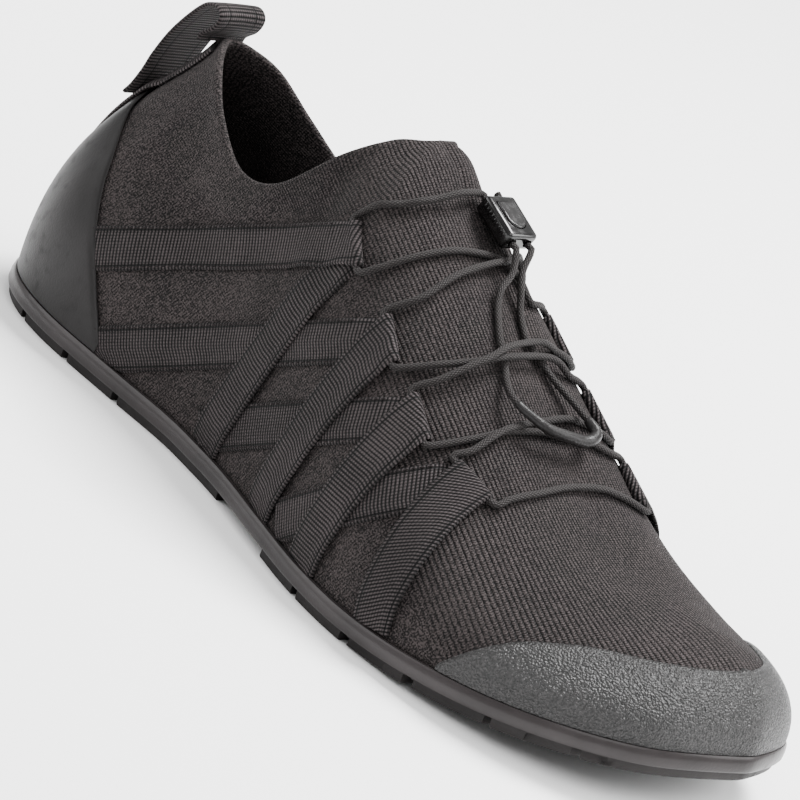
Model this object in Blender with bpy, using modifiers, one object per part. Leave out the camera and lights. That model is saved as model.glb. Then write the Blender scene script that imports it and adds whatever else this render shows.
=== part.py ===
"""Barefoot shoe for the right foot: a knitted upper on a thin, flexible rubber sole.

+X runs from heel to toe, +Y to the inner side of the foot, +Z up. The shoe is drawn from the
back edge of its sole, then moved so that the origin lies under the middle of the heel's tread.
"""

from collections import namedtuple
from math import cos, floor, pi, radians, sin

import bmesh
import bpy
import numpy as np
from mathutils import Matrix, Vector

# Driving sizes of the last and the sole
LENGTH = 0.280
BALL_WIDTH = 0.1045
COLLAR_HEIGHT = 0.1035
TOE_SPRING = 0.0125
SPRING_START = 0.64
HEEL_SEAT = 0.043
GAP = 0.0003
SEAT_GAP = 0.0006

# Sole
LUG_DEPTH = 0.0030
SOLE_WEB = 0.0016
SIDE_BAND_TOP = 0.0078
SIDE_BAND_WALL = 0.0021
LUG_SETBACK = 0.0013
GROOVE_WIDTH = 0.0030
RECESS_DEPTH = 0.0011
INSOLE_THICKNESS = 0.0040

# Upper and its rubber guards
UPPER_WALL = 0.0022
CAP_WALL = 0.0012
COUNTER_WALL = 0.0013

# Webbing
WEB_WIDTH = 0.0120
WEB_THICKNESS = 0.0009
FOLD_LENGTH = 0.0042
PULL_WIDTH = 0.0110
PULL_THICKNESS = 0.0012

# Lace, its lock and the grip on its ends. A lace starts LACE_START from the end of its fold.
CORD_DIAMETER = 0.0019
CORD_CLEARANCE = 0.0004
CORD_STEP = 3.3
GRIP_GAP = 0.0012
PATH_STEPS = 24
LACE_START = 0.0022
LATERAL_CUT = 0.0046
MEDIAL_CUT = 0.0085
LOCK_LENGTH = 0.0145
LOCK_WIDTH = 0.0112
LOCK_HEIGHT = 0.0058
LOCK_EDGE = 0.0012
LOCK_SLOPE = 20.0
CORD_HOLE_DEPTH = 0.0020
CORD_HOLE_SPACING = 0.0060
BUTTON_LENGTH = 0.0088
BUTTON_WIDTH = 0.0066
BUTTON_HEIGHT = 0.0017
BUTTON_SINK = 0.0012
GRIP_DIAMETER = 0.0035

# How far up each section its handles reach, and how finely the last is sampled: the space
# between two places round the sole, as a share of LENGTH, and the steps up the wall
HANDLE = 0.58
PLACE_SPACING = 0.037
RISE_STEPS = 8

# A section of the last for each row, from the heel to the toe. It starts at the sole's edge on
# either side (along: share of LENGTH; lateral and medial: half widths, shares of BALL_WIDTH) and
# ends on the collar's rim or, further forward, on the ridge over the foot (top_along: share of
# LENGTH; top_height: share of COLLAR_HEIGHT; rim_lateral and rim_medial: half widths of the
# opening; crest: how far the top lies toward the big toe). crown says how flat the wall arrives
# at the top, from 0 upright to 1 level, and belly how far it swells low down.
Section = namedtuple(
    "Section",
    "along lateral medial top_along top_height rim_lateral rim_medial crest crown belly",
)
SECTIONS = [
    Section(0.000, 0.000, 0.000, 0.100, 0.868, 0.000, 0.000, 0.000, 0.60, 0.07),
    Section(0.016, 0.172, 0.163, 0.113, 0.860, 0.055, 0.062, 0.000, 0.50, 0.07),
    Section(0.060, 0.286, 0.282, 0.140, 0.826, 0.115, 0.130, 0.000, 0.35, 0.06),
    Section(0.135, 0.343, 0.316, 0.184, 0.750, 0.170, 0.182, 0.000, 0.15, 0.05),
    Section(0.243, 0.347, 0.287, 0.248, 0.678, 0.212, 0.222, 0.000, 0.08, 0.02),
    Section(0.330, 0.342, 0.268, 0.306, 0.722, 0.228, 0.216, 0.004, 0.18, 0.00),
    Section(0.385, 0.358, 0.268, 0.352, 0.880, 0.190, 0.174, 0.010, 0.42, 0.00),
    Section(0.425, 0.376, 0.277, 0.382, 0.975, 0.125, 0.115, 0.013, 0.72, 0.00),
    Section(0.465, 0.403, 0.297, 0.396, 1.000, 0.000, 0.000, 0.017, 1.00, 0.00),
    Section(0.518, 0.444, 0.331, 0.463, 0.892, 0.000, 0.000, 0.027, 1.00, 0.00),
    Section(0.600, 0.500, 0.403, 0.553, 0.743, 0.000, 0.000, 0.037, 1.00, 0.00),
    Section(0.686, 0.520, 0.465, 0.644, 0.584, 0.000, 0.000, 0.047, 1.00, 0.00),
    Section(0.768, 0.500, 0.495, 0.728, 0.453, 0.000, 0.000, 0.056, 1.00, 0.00),
    Section(0.850, 0.440, 0.485, 0.794, 0.392, 0.000, 0.000, 0.066, 1.00, 0.00),
    Section(0.920, 0.335, 0.420, 0.847, 0.384, 0.000, 0.000, 0.072, 1.00, 0.00),
    Section(0.972, 0.190, 0.313, 0.885, 0.388, 0.000, 0.000, 0.078, 1.00, 0.00),
    Section(0.997, -0.033, 0.143, 0.907, 0.384, 0.000, 0.000, 0.080, 1.00, 0.00),
]
LAST_ROW = len(SECTIONS) - 1
FRONT_ROW = 8
RIM_FRONT = 5
LOOP = 2 * LAST_ROW + 1

# Edges of the rubber guards: row is a place between the sections, rise a share of the way up them
EdgePoint = namedtuple("EdgePoint", "row rise")
CAP_EDGE = [
    EdgePoint(12.25, 0.03),
    EdgePoint(12.50, 0.15),
    EdgePoint(12.75, 0.26),
    EdgePoint(13.00, 0.345),
    EdgePoint(13.50, 0.455),
    EdgePoint(14.00, 0.515),
    EdgePoint(15.00, 0.595),
    EdgePoint(16.50, 0.70),
]
COUNTER_EDGE = [
    EdgePoint(0.00, 0.60),
    EdgePoint(1.00, 0.585),
    EdgePoint(2.00, 0.515),
    EdgePoint(2.50, 0.425),
    EdgePoint(3.00, 0.305),
    EdgePoint(3.32, 0.20),
    EdgePoint(3.72, 0.03),
]

# Webbing bands, each a V. loop is the fold that holds the lace, rear where the back leg ends and
# foot where the front leg meets the sole; along: share of LENGTH; height: share of COLLAR_HEIGHT.
Band = namedtuple("Band", "name side loop_along loop_height rear_along rear_height foot_along")
BANDS = [
    Band("band_lateral_1", -1, 0.438, 0.755, 0.176, 0.335, 0.390),
    Band("band_lateral_2", -1, 0.535, 0.630, 0.236, 0.125, 0.505),
    Band("band_lateral_3", -1, 0.612, 0.527, 0.374, 0.105, 0.598),
    Band("band_lateral_4", -1, 0.685, 0.463, 0.540, 0.105, 0.708),
    Band("band_medial_1", 1, 0.475, 0.785, 0.176, 0.335, 0.395),
    Band("band_medial_2", 1, 0.560, 0.680, 0.236, 0.125, 0.500),
    Band("band_medial_3", 1, 0.632, 0.575, 0.374, 0.105, 0.590),
    Band("band_medial_4", 1, 0.698, 0.470, 0.540, 0.105, 0.690),
]

# Grooves across the tread, as chevrons: where each meets the edges and where its point lies
Groove = namedtuple("Groove", "edge_along point_along")
GROOVES = [
    Groove(0.085, 0.115),
    Groove(0.165, 0.195),
    Groove(0.245, 0.275),
    Groove(0.600, 0.630),
    Groove(0.680, 0.710),
    Groove(0.760, 0.790),
    Groove(0.840, 0.870),
    Groove(0.910, 0.935),
]
# Pockets in the arch: corners as shares of LENGTH and of BALL_WIDTH
ARCH_LATERAL_INNER = [(0.330, -0.150), (0.325, -0.285), (0.535, -0.300), (0.520, -0.150)]
ARCH_LATERAL_OUTER = [(0.440, -0.3035), (0.432, -0.600), (0.540, -0.600), (0.5365, -0.3045)]
ARCH_MEDIAL = [(0.310, 0.120), (0.300, 0.500), (0.530, 0.500), (0.515, 0.120)]
# Recessed stretches of the lug blocks' outer faces, from and to, as rows of the last
SIDE_RECESSES = [(11.0, 11.65), (12.0, 13.05), (13.5, 14.5)]

# Middle line of the pull loop from the rim over its top and down to the heel's seam strip, x and
# z as shares of COLLAR_HEIGHT, and where that strip starts and ends on the way up the heel
PULL_LOOP = [
    (0.247, 0.852),
    (0.255, 0.875),
    (0.276, 0.890),
    (0.302, 0.902),
    (0.320, 0.930),
    (0.314, 0.957),
    (0.280, 0.965),
    (0.228, 0.948),
    (0.165, 0.890),
    (0.112, 0.812),
    (0.082, 0.735),
    (0.092, 0.672),
    (0.089, 0.625),
    (0.075, 0.598),
]
STRIP_START = 0.25
STRIP_END = 0.975

# The laces. Each strand runs from the fold of one band to that of another, by way of places seen
# from above (shares of LENGTH and of BALL_WIDTH) at a level: how many cord diameters it lies over
# a cord that rests on the knit.
Strand = namedtuple("Strand", "start way end")
LACES = {
    "lace_cross_1": [
        Strand(
            ("band_lateral_1", -1),
            [(0.476, -0.254, 0), (0.495, -0.142, 0), (0.501, -0.050, 0), (0.507, 0.051, 0),
             (0.525, 0.091, 0), (0.545, 0.100, 0)],
            ("band_medial_2", 1),
        ),
        Strand(
            ("band_lateral_2", 1),
            [(0.524, -0.225, 0.3), (0.520, -0.130, 0.6), (0.514, -0.020, 0.7),
             (0.510, 0.065, 0.7), (0.502, 0.120, 0.4)],
            ("band_medial_1", -1),
        ),
    ],
    "lace_cross_2": [
        Strand(
            ("band_lateral_2", -1),
            [(0.584, -0.253, 0.3), (0.595, -0.170, 0.8), (0.597, -0.100, 1.25),
             (0.595, 0.030, 1.25), (0.599, 0.100, 0.8), (0.608, 0.150, 0)],
            ("band_medial_3", 1),
        ),
        Strand(
            ("band_lateral_3", 1),
            [(0.596, -0.267, 0.6), (0.598, -0.200, 1.4), (0.596, -0.140, 1.9),
             (0.590, -0.080, 1.9), (0.583, 0.030, 1.3), (0.585, 0.095, 0.6)],
            ("band_medial_2", -1),
        ),
    ],
    "lace_cross_3": [
        Strand(
            ("band_lateral_3", -1),
            [(0.653, -0.245, 0), (0.656, -0.150, 0), (0.660, -0.030, 0), (0.665, 0.100, 0),
             (0.674, 0.190, 0)],
            ("band_medial_4", 1),
        ),
        Strand(
            ("band_lateral_4", 1),
            [(0.662, -0.265, 0.3), (0.658, -0.200, 0.7), (0.655, -0.140, 0.7),
             (0.649, 0.000, 0), (0.649, 0.107, 0)],
            ("band_medial_3", -1),
        ),
    ],
    "lace_bar": [
        Strand(
            ("band_lateral_4", -1),
            [(0.712, -0.222, 0), (0.713, -0.140, 0), (0.709, 0.000, 0), (0.713, 0.130, 0)],
            ("band_medial_4", -1),
        ),
    ],
}
# Leads from the first folds to the lock, and the two ends from the lock to the grip
LEAD_LATERAL = [(0.445, -0.161, 0.1), (0.452, -0.096, 0.6), (0.452, -0.035, 1.6)]
LEAD_MEDIAL = [(0.451, 0.148, 0.9)]
END_LONG = [
    (0.525, 0.070, 1.7),
    (0.541, 0.062, 0.6),
    (0.553, 0.052, 0),
    (0.568, 0.038, 0),
    (0.580, 0.035, 0),
    (0.594, 0.058, 0),
    (0.612, 0.078, 0.1),
    (0.630, 0.100, 0.6),
    (0.644, 0.110, 1.2),
]
END_SHORT = [
    (0.524, 0.028, 1.9),
    (0.536, -0.010, 0.8),
    (0.548, -0.030, 0.1),
    (0.562, -0.048, 0),
    (0.580, -0.068, 0),
    (0.600, -0.080, 0),
    (0.614, -0.100, 0.3),
    (0.627, -0.118, 1.2),
]
GRIP = [
    (0.640, -0.120, 2.1),
    (0.653, -0.094, 2.25),
    (0.664, -0.058, 2.3),
    (0.670, -0.005, 2.3),
    (0.673, 0.050, 2.3),
    (0.673, 0.092, 2.3),
    (0.667, 0.116, 2.15),
    (0.656, 0.115, 1.8),
]
# Middle of the lock: shares of LENGTH, BALL_WIDTH and COLLAR_HEIGHT
LOCK_PLACE = (0.4875, 0.0823, 0.913)


def set_up_scene():
    """Start from an empty scene, with one collection for the shoe and one for its cutters."""
    for item in list(bpy.data.objects):
        bpy.data.objects.remove(item, do_unlink=True)
    shoe = bpy.data.collections.new("barefoot_shoe")
    cutters = bpy.data.collections.new("cutters")
    bpy.context.scene.collection.children.link(shoe)
    bpy.context.scene.collection.children.link(cutters)
    return shoe, cutters


SHOE, CUTTERS = set_up_scene()


def material(name, colour, roughness, metallic=0.0):
    made = bpy.data.materials.new(name)
    made.use_nodes = True
    shader = made.node_tree.nodes["Principled BSDF"]
    shader.inputs["Base Color"].default_value = (*colour, 1.0)
    shader.inputs["Roughness"].default_value = roughness
    shader.inputs["Metallic"].default_value = metallic
    return made


def blend(p0, p1, p2, p3, t):
    """A smooth curve's point between p1 and p2."""
    return 0.5 * (
        2 * p1
        + (p2 - p0) * t
        + (2 * p0 - 5 * p1 + 4 * p2 - p3) * t * t
        + (3 * p1 - p0 - 3 * p2 + p3) * t**3
    )


def smooth_path(points, steps):
    """Points of a smooth open curve through the given ones."""
    pts = [np.array(p, float) for p in points]
    pts = [2 * pts[0] - pts[1]] + pts + [2 * pts[-1] - pts[-2]]
    path = [blend(*pts[i : i + 4], j / steps) for i in range(len(pts) - 3) for j in range(steps)]
    return path + [pts[-2]]


def edge_corner(k):
    """The sole's edge in plan at a row of the loop heel, lateral side, toe, medial side."""
    k %= LOOP
    row = SECTIONS[min(k, LOOP - k)]
    half = -row.lateral if k <= LAST_ROW else row.medial
    return np.array([row.along * LENGTH, half * BALL_WIDTH])


def sole_edge(c):
    """The sole's edge in plan at loop place c, and the way out from it."""
    k = floor(c)
    corners = [edge_corner(k + j) for j in (-1, 0, 1, 2)]
    here = blend(*corners, c - k)
    run = blend(*corners, c - k + 1e-4) - here
    out = np.array([run[1], -run[0]])
    return here, out / np.linalg.norm(out)


def spring(x):
    """How far the tread stands off the ground, where it curls up toward the toe."""
    run = max(0.0, x / LENGTH - SPRING_START) / (1 - SPRING_START)
    return TOE_SPRING * run**1.8


def rim_corner(k, side):
    """The collar's rim at row k, which goes on round the heel and the front on the far side."""
    if k > FRONT_ROW:
        k, side = 2 * FRONT_ROW - k, -side
    elif k < 0:
        k, side = -k, -side
    row = SECTIONS[k]
    half = side * (row.rim_lateral if side < 0 else row.rim_medial)
    place = [row.top_along * LENGTH, (half + row.crest) * BALL_WIDTH]
    return np.array([*place, row.top_height * COLLAR_HEIGHT])


def ridge_corner(k):
    """The ridge over the foot at row k, run straight on past its two ends."""
    if k < FRONT_ROW:
        return 2 * ridge_corner(FRONT_ROW) - ridge_corner(FRONT_ROW + 1)
    if k > LAST_ROW:
        return 2 * ridge_corner(LAST_ROW) - ridge_corner(LAST_ROW - 1)
    row = SECTIONS[k]
    return np.array([row.top_along * LENGTH, row.crest * BALL_WIDTH, row.top_height * COLLAR_HEIGHT])


def top_point(u, side):
    """Where the section at row place u ends."""
    k = min(floor(u), LAST_ROW - 1)
    if u < FRONT_ROW:
        corners = [rim_corner(k + j, side) for j in (-1, 0, 1, 2)]
    else:
        corners = [ridge_corner(k + j) for j in (-1, 0, 1, 2)]
    return blend(*corners, u - k)


def eased(u, column):
    """A column of the table between two rows."""
    k = min(floor(u), LAST_ROW - 1)
    low, high = getattr(SECTIONS[k], column), getattr(SECTIONS[k + 1], column)
    t = u - k
    return low + (high - low) * t * t * (3 - 2 * t)


def section_handles(c):
    """The four handles of the wall's curve at loop place c, from the sole up."""
    c %= LOOP
    side = -1 if c <= LOOP / 2 else 1
    u = min(c, LOOP - c, LAST_ROW)
    edge, out = sole_edge(c)
    foot = edge - out * (SIDE_BAND_WALL + GAP)
    base = np.array([*foot, spring(edge[0]) + SIDE_BAND_TOP])
    top = top_point(u, side)
    rise = top[2] - base[2]
    crown = eased(u, "crown")
    low = base + np.array([*(out * eased(u, "belly") * rise), HANDLE * rise])
    high = top + np.array([*((base - top)[:2] * HANDLE * crown), -HANDLE * rise * (1 - crown)])
    return base, low, high, top


def last_point(c, v):
    """The last's surface: loop place c round the shoe, share v of the way up."""
    base, low, high, top = section_handles(c)
    w = 1 - v
    return w**3 * base + 3 * v * w * w * low + 3 * v * v * w * high + v**3 * top


def last_slopes(c, v):
    """How the surface runs with c and with v."""
    step_c, step_v = 0.02, 0.01
    v = min(max(v, step_v), 1 - step_v)
    along = (last_point(c + step_c, v) - last_point(c - step_c, v)) / (2 * step_c)
    up = (last_point(c, v + step_v) - last_point(c, v - step_v)) / (2 * step_v)
    return along, up


def last_normal(c, v):
    along, up = last_slopes(c, v)
    out = np.cross(along, up)
    return out / np.linalg.norm(out)


def off_last(c, v, offset):
    """A point that lies offset outside the last."""
    return last_point(c, v) + last_normal(c, v) * offset


def settle(c, v, miss):
    """Move (c, v) until miss(point) is zero in its two numbers."""
    for _ in range(8):
        along, up = last_slopes(c, v)
        here = last_point(c, v)
        error = miss(here)
        slope = np.column_stack([miss(here + along) - error, miss(here + up) - error])
        step = np.linalg.lstsq(slope, -error, rcond=None)[0]
        c += float(np.clip(step[0], -0.6, 0.6))
        v = float(np.clip(v + np.clip(step[1], -0.2, 0.2), 0.0, 1.0))
    return c, v


def seen_from_side(x, z, start):
    """Place on the last at x and z, near the place start."""
    return settle(*start, lambda p: np.array([p[0] - x, p[2] - z]))


def seen_from_above(x, y):
    """Place on the last at x and y, on the side that y is on."""
    crest = np.interp(
        x / LENGTH,
        [s.top_along for s in SECTIONS[FRONT_ROW:]],
        [s.crest for s in SECTIONS[FRONT_ROW:]],
    )
    row = np.interp(x / LENGTH, [s.top_along for s in SECTIONS], range(LAST_ROW + 1))
    start = row if y < crest * BALL_WIDTH else LOOP - row
    return settle(start, 0.85, lambda p: np.array([p[0] - x, p[1] - y]))


def add_mesh(name, points, faces, look, collection=SHOE, smooth=35):
    """A mesh object from points and faces, with its doubles merged and its faces out."""
    mesh = bpy.data.meshes.new(name)
    mesh.from_pydata([tuple(float(a) for a in p) for p in points], [], faces)
    work = bmesh.new()
    work.from_mesh(mesh)
    bmesh.ops.remove_doubles(work, verts=work.verts, dist=2e-6)
    bmesh.ops.recalc_face_normals(work, faces=work.faces)
    work.to_mesh(mesh)
    work.free()
    mesh.materials.append(look)
    item = bpy.data.objects.new(name, mesh)
    collection.objects.link(item)
    if collection is CUTTERS:
        item.hide_render = True
        item.display_type = "WIRE"
    else:
        mesh.shade_smooth()
        mesh.set_sharp_from_angle(angle=radians(smooth))
    return item


def loft(name, rings, look, collection=SHOE, smooth=35):
    """A closed body through rings of equally many points, with flat ends."""
    count = len(rings[0])
    points = [p for ring in rings for p in ring]
    faces = [list(range(count))[::-1], [len(points) - count + i for i in range(count)]]
    for r in range(len(rings) - 1):
        for i in range(count):
            j = (i + 1) % count
            a, b = r * count, (r + 1) * count
            faces.append([a + i, a + j, b + j, b + i])
    return add_mesh(name, points, faces, look, collection, smooth)


def combine(target, tool, operation):
    """Join tool to target or cut it away, for good."""
    change = target.modifiers.new(operation.lower(), "BOOLEAN")
    change.operation = operation
    change.solver = "EXACT"
    change.object = tool
    view = bpy.context.evaluated_depsgraph_get()
    done = bpy.data.meshes.new_from_object(target.evaluated_get(view))
    target.modifiers.clear()
    target.data = done
    bpy.data.objects.remove(tool, do_unlink=True)
    done.shade_smooth()
    done.set_sharp_from_angle(angle=radians(35))


def loop_places():
    """Places round the sole, about as far apart everywhere, the same on both sides."""
    side = []
    for k in range(LAST_ROW):
        run = (edge_corner(k + 1) - edge_corner(k)) / LENGTH
        least = 2 if RIM_FRONT <= k <= FRONT_ROW else 1
        steps = max(least, round(float(np.linalg.norm(run)) / PLACE_SPACING))
        side += [k + i / steps for i in range(steps)]
    side.append(LAST_ROW)
    return side + [LOOP / 2] + [LOOP - c for c in side[:0:-1]]


def slab(name, rings, look):
    """A sole-shaped body: rings of (inset, height) up its side, closed across between the sides."""
    places = loop_places()
    count = len(places)
    points = []
    for inset, height in rings:
        for c in places:
            edge, out = sole_edge(c)
            points.append([*(edge - out * inset), spring(edge[0]) + height])
    faces = []
    for r in range(len(rings) - 1):
        for i in range(count):
            j = (i + 1) % count
            a, b = r * count, (r + 1) * count
            faces.append([a + i, a + j, b + j, b + i])
    top = (len(rings) - 1) * count
    half = count // 2
    for i in range(half):
        near = [i, i + 1]
        far = [(count - i - 1) % count, (count - i) % count]
        across = list(dict.fromkeys(near + far))
        faces.append(across[::-1])
        faces.append([top + a for a in across])
    return add_mesh(name, points, faces, look)


def groove_cutter(groove):
    """A chevron groove's body, a little wider than the sole."""
    half = 0.62 * BALL_WIDTH
    rings = []
    for along, y in ((groove.edge_along, -half), (groove.point_along, 0), (groove.edge_along, half)):
        x = along * LENGTH
        ring = []
        for dx, up in ((-1, 0), (1, 0), (1, 1), (-1, 1)):
            px = x + dx * GROOVE_WIDTH / 2
            ring.append([px, y, spring(px) + LUG_DEPTH - 0.0002 if up else -LUG_DEPTH])
        rings.append(ring)
    return loft("groove", rings, RUBBER, CUTTERS)


def pocket_cutter(corners):
    """A pocket's body under the arch."""
    low = [[a * LENGTH, b * BALL_WIDTH, -LUG_DEPTH] for a, b in corners]
    high = [[x, y, spring(x) + LUG_DEPTH - 0.0002] for x, y, _ in low]
    return loft("pocket", [low, high], RUBBER, CUTTERS)


def recess_cutter(start, end, side):
    """A strip that sets back the outer face of the lug blocks between two rows."""
    steps = 6
    rings = []
    for i in range(steps + 1):
        row = start + (end - start) * i / steps
        edge, out = sole_edge(row if side < 0 else LOOP - row)
        ground = spring(edge[0])
        ring = []
        for inset, height in (
            (-0.002, -0.003),
            (LUG_SETBACK + RECESS_DEPTH, -0.003),
            (LUG_SETBACK + RECESS_DEPTH, LUG_DEPTH - 0.0005),
            (-0.002, LUG_DEPTH - 0.0005),
        ):
            ring.append([*(edge - out * inset), ground + height])
        rings.append(ring)
    return loft("recess", rings, RUBBER, CUTTERS)


def build_outsole():
    floor_top = LUG_DEPTH + SOLE_WEB
    sole = slab(
        "outsole",
        [
            (LUG_SETBACK + 0.0005, 0.0),
            (LUG_SETBACK, LUG_DEPTH),
            (0.0002, LUG_DEPTH + 0.0003),
            (0.0, SIDE_BAND_TOP - 0.0022),
            (0.0004, SIDE_BAND_TOP),
            (SIDE_BAND_WALL, SIDE_BAND_TOP),
            (SIDE_BAND_WALL, floor_top),
        ],
        RUBBER,
    )
    for groove in GROOVES:
        combine(sole, groove_cutter(groove), "DIFFERENCE")
    for corners in (ARCH_LATERAL_INNER, ARCH_LATERAL_OUTER, ARCH_MEDIAL):
        combine(sole, pocket_cutter(corners), "DIFFERENCE")
    for start, end in SIDE_RECESSES:
        for side in (-1, 1):
            combine(sole, recess_cutter(start, end, side), "DIFFERENCE")
    return sole


def build_insole():
    inset = SIDE_BAND_WALL + UPPER_WALL + 2 * GAP
    low = LUG_DEPTH + SOLE_WEB + GAP
    high = low + INSOLE_THICKNESS
    rings = [(inset, low), (inset, high - 0.0008), (inset + 0.0010, high)]
    return slab("insole", rings, FOAM)


def build_upper():
    """The knitted shell: the last's outer surface with a wall inside it and a skirt in the sole."""
    places = loop_places()
    count = len(places)
    skirt = SIDE_BAND_TOP - LUG_DEPTH - SOLE_WEB - GAP
    points = [last_point(c, 0) - np.array([0, 0, skirt]) for c in places]
    for step in range(RISE_STEPS + 1):
        points += [last_point(c, step / RISE_STEPS) for c in places]
    faces = []
    for r in range(RISE_STEPS + 1):
        for i in range(count):
            j = (i + 1) % count
            a, b = r * count, (r + 1) * count
            faces.append([a + i, a + j, b + j, b + i])
    shell = add_mesh("upper", points, faces, KNIT)
    wall = shell.modifiers.new("wall", "SOLIDIFY")
    wall.thickness = UPPER_WALL
    wall.offset = -1
    return shell


def guard(name, edge, places, offset, thickness, look):
    """A rubber guard on the last: from just over the sole up to its edge."""
    foot = 0.012
    rows = [p.row for p in edge]
    rises = [p.rise for p in edge]
    rings = []
    steps = 5
    for c in places:
        folded = min(c % LOOP, LOOP - c % LOOP)
        top = float(np.interp(folded, rows, rises))
        low = [off_last(c, foot + (top - foot) * i / steps, offset) for i in range(steps + 1)]
        rim = (top - foot) * 0.03
        high = [
            off_last(c, foot + (top - foot - rim) * i / steps, offset + thickness)
            for i in range(steps + 1)
        ]
        rings.append(low + high[::-1])
    return loft(name, rings, look)


def guard_places(edge, middle):
    """Places of a guard that reaches from the loop place middle to its edge on both sides."""
    end = edge[-1].row if middle == 0 else edge[0].row
    rows = [p.row for p in edge] + [min(c, LOOP - c) for c in loop_places()]
    if middle == 0:
        side = sorted({c for c in rows if 0 < c <= end})
        return [-c for c in side[::-1]] + [0.0] + side
    side = sorted({c for c in rows if end <= c < middle})
    return side + [middle] + [LOOP - c for c in side[::-1]]


def build_toe_cap():
    places = guard_places(CAP_EDGE, LOOP / 2)
    return guard("toe_cap", CAP_EDGE, places, SEAT_GAP, CAP_WALL, GRAINY_RUBBER)


def build_heel_counter():
    places = guard_places(COUNTER_EDGE, 0)
    return guard("heel_counter", COUNTER_EDGE, places, SEAT_GAP, COUNTER_WALL, SMOOTH_RUBBER)


def shift(c, v, move):
    """The place on the last that lies the small vector move away."""
    goal = last_point(c, v) + move
    return settle(c, v, lambda p: p - goal)


def ribbon(name, path, width, thickness, look, columns=(1, 0, -1)):
    """Webbing that lies on the last along a path of places and the offsets there."""
    points = [last_point(c, v) for c, v, _ in path]
    rings = []
    for i, (c, v, offset) in enumerate(path):
        run = points[min(i + 1, len(path) - 1)] - points[max(i - 1, 0)]
        across = np.cross(last_normal(c, v), run)
        across *= width / 2 / np.linalg.norm(across)
        places = [shift(c, v, across * side) for side in columns]
        low = [off_last(*p, offset) for p in places]
        high = [off_last(*p, offset + thickness) for p in places]
        rings.append(low + high[::-1])
    return loft(name, rings, look)


def side_path(side, start, end, steps, offset):
    """A path on the last that is straight from the side, with its steps closest at its start."""
    path = []
    row = np.interp(start[0], [s.along for s in SECTIONS], range(LAST_ROW + 1))
    place = (row if side < 0 else LOOP - row, 0.4)
    for i in range(steps + 1):
        share = (i / steps) ** 1.5
        along, height = np.array(start) + (np.array(end) - np.array(start)) * share
        place = seen_from_side(along * LENGTH, height * COLLAR_HEIGHT, place)
        path.append((*place, offset))
    return path


def build_band(band):
    """One V of webbing: the back leg low, the front leg over it, joined at the folded loop."""
    loop = (band.loop_along, band.loop_height)
    rear = (band.rear_along, band.rear_height)
    foot_height = (SIDE_BAND_TOP + spring(band.foot_along * LENGTH) + 0.0010) / COLLAR_HEIGHT
    foot = (band.foot_along, foot_height)
    low = SEAT_GAP
    high = SEAT_GAP + GAP + WEB_THICKNESS
    back_path = side_path(band.side, loop, rear, 9, low)
    back = ribbon(band.name, back_path, WEB_WIDTH, WEB_THICKNESS, WEBBING)
    front_path = side_path(band.side, loop, foot, 7, high)
    front = ribbon("front", front_path, WEB_WIDTH, WEB_THICKNESS, WEBBING)
    combine(back, front, "UNION")
    start, end = fold_ends(band, FOLD_LENGTH * 0.7, FOLD_LENGTH * 0.3)
    fold_path = side_path(band.side, start, end, 3, low + GAP)
    fold = ribbon("fold", fold_path, WEB_WIDTH + 0.0008, high, WEBBING)
    combine(back, fold, "UNION")


def fold_way(band):
    """From the side, the way a band's loop points, between its two legs."""
    loop = np.array([band.loop_along * LENGTH, band.loop_height * COLLAR_HEIGHT])
    rear = np.array([band.rear_along * LENGTH, band.rear_height * COLLAR_HEIGHT])
    foot = np.array([band.foot_along * LENGTH, SIDE_BAND_TOP])
    way = (loop - rear) / np.linalg.norm(loop - rear) + (loop - foot) / np.linalg.norm(loop - foot)
    return loop, way / np.linalg.norm(way)


def fold_ends(band, behind, beyond):
    """Two places from the side, in shares: behind the loop's point and beyond it."""
    loop, way = fold_way(band)
    sizes = np.array([LENGTH, COLLAR_HEIGHT])
    return (loop - way * behind) / sizes, (loop + way * beyond) / sizes


def fold_exit(name, end):
    """Where the lace comes out of a band's fold: at its upper end (1) or its lower one (-1)."""
    band = next(b for b in BANDS if b.name == name)
    loop, way = fold_way(band)
    along_fold = np.array([-way[1], way[0]])
    row = np.interp(band.loop_along, [s.along for s in SECTIONS], range(LAST_ROW + 1))
    start = (row if band.side < 0 else LOOP - row, 0.5)
    c, v = seen_from_side(*loop, start)
    x, z = loop + along_fold * end * (WEB_WIDTH / 2 + LACE_START)
    return off_last(*seen_from_side(x, z, (c, v)), CORD_CLEARANCE + CORD_DIAMETER / 2)


def via_point(along, across, level):
    """A point of a cord's middle line."""
    place = seen_from_above(along * LENGTH, across * BALL_WIDTH)
    return off_last(*place, CORD_CLEARANCE + CORD_DIAMETER * (level + 0.5))


def rested(point):
    """The point, moved out where a cord there would cut into the knit."""
    place = settle(*seen_from_above(*point[:2]), lambda p: p - point)
    base, normal = last_point(*place), last_normal(*place)
    least = CORD_CLEARANCE + CORD_DIAMETER / 2
    return point if (point - base) @ normal > least else base + normal * least


def cord_line(dense, cut_start, cut_end):
    """Evenly spaced points along a dense line, shortened at its ends."""
    dense = np.array(dense)
    run = np.concatenate([[0.0], np.cumsum(np.linalg.norm(np.diff(dense, axis=0), axis=1))])
    steps = round(float(run[-1]) / (CORD_STEP * CORD_DIAMETER))
    places = np.linspace(cut_start, run[-1] - cut_end, steps + 1)
    line = np.column_stack([np.interp(places, run, dense[:, axis]) for axis in range(3)])
    return [rested(point) for point in line]


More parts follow.
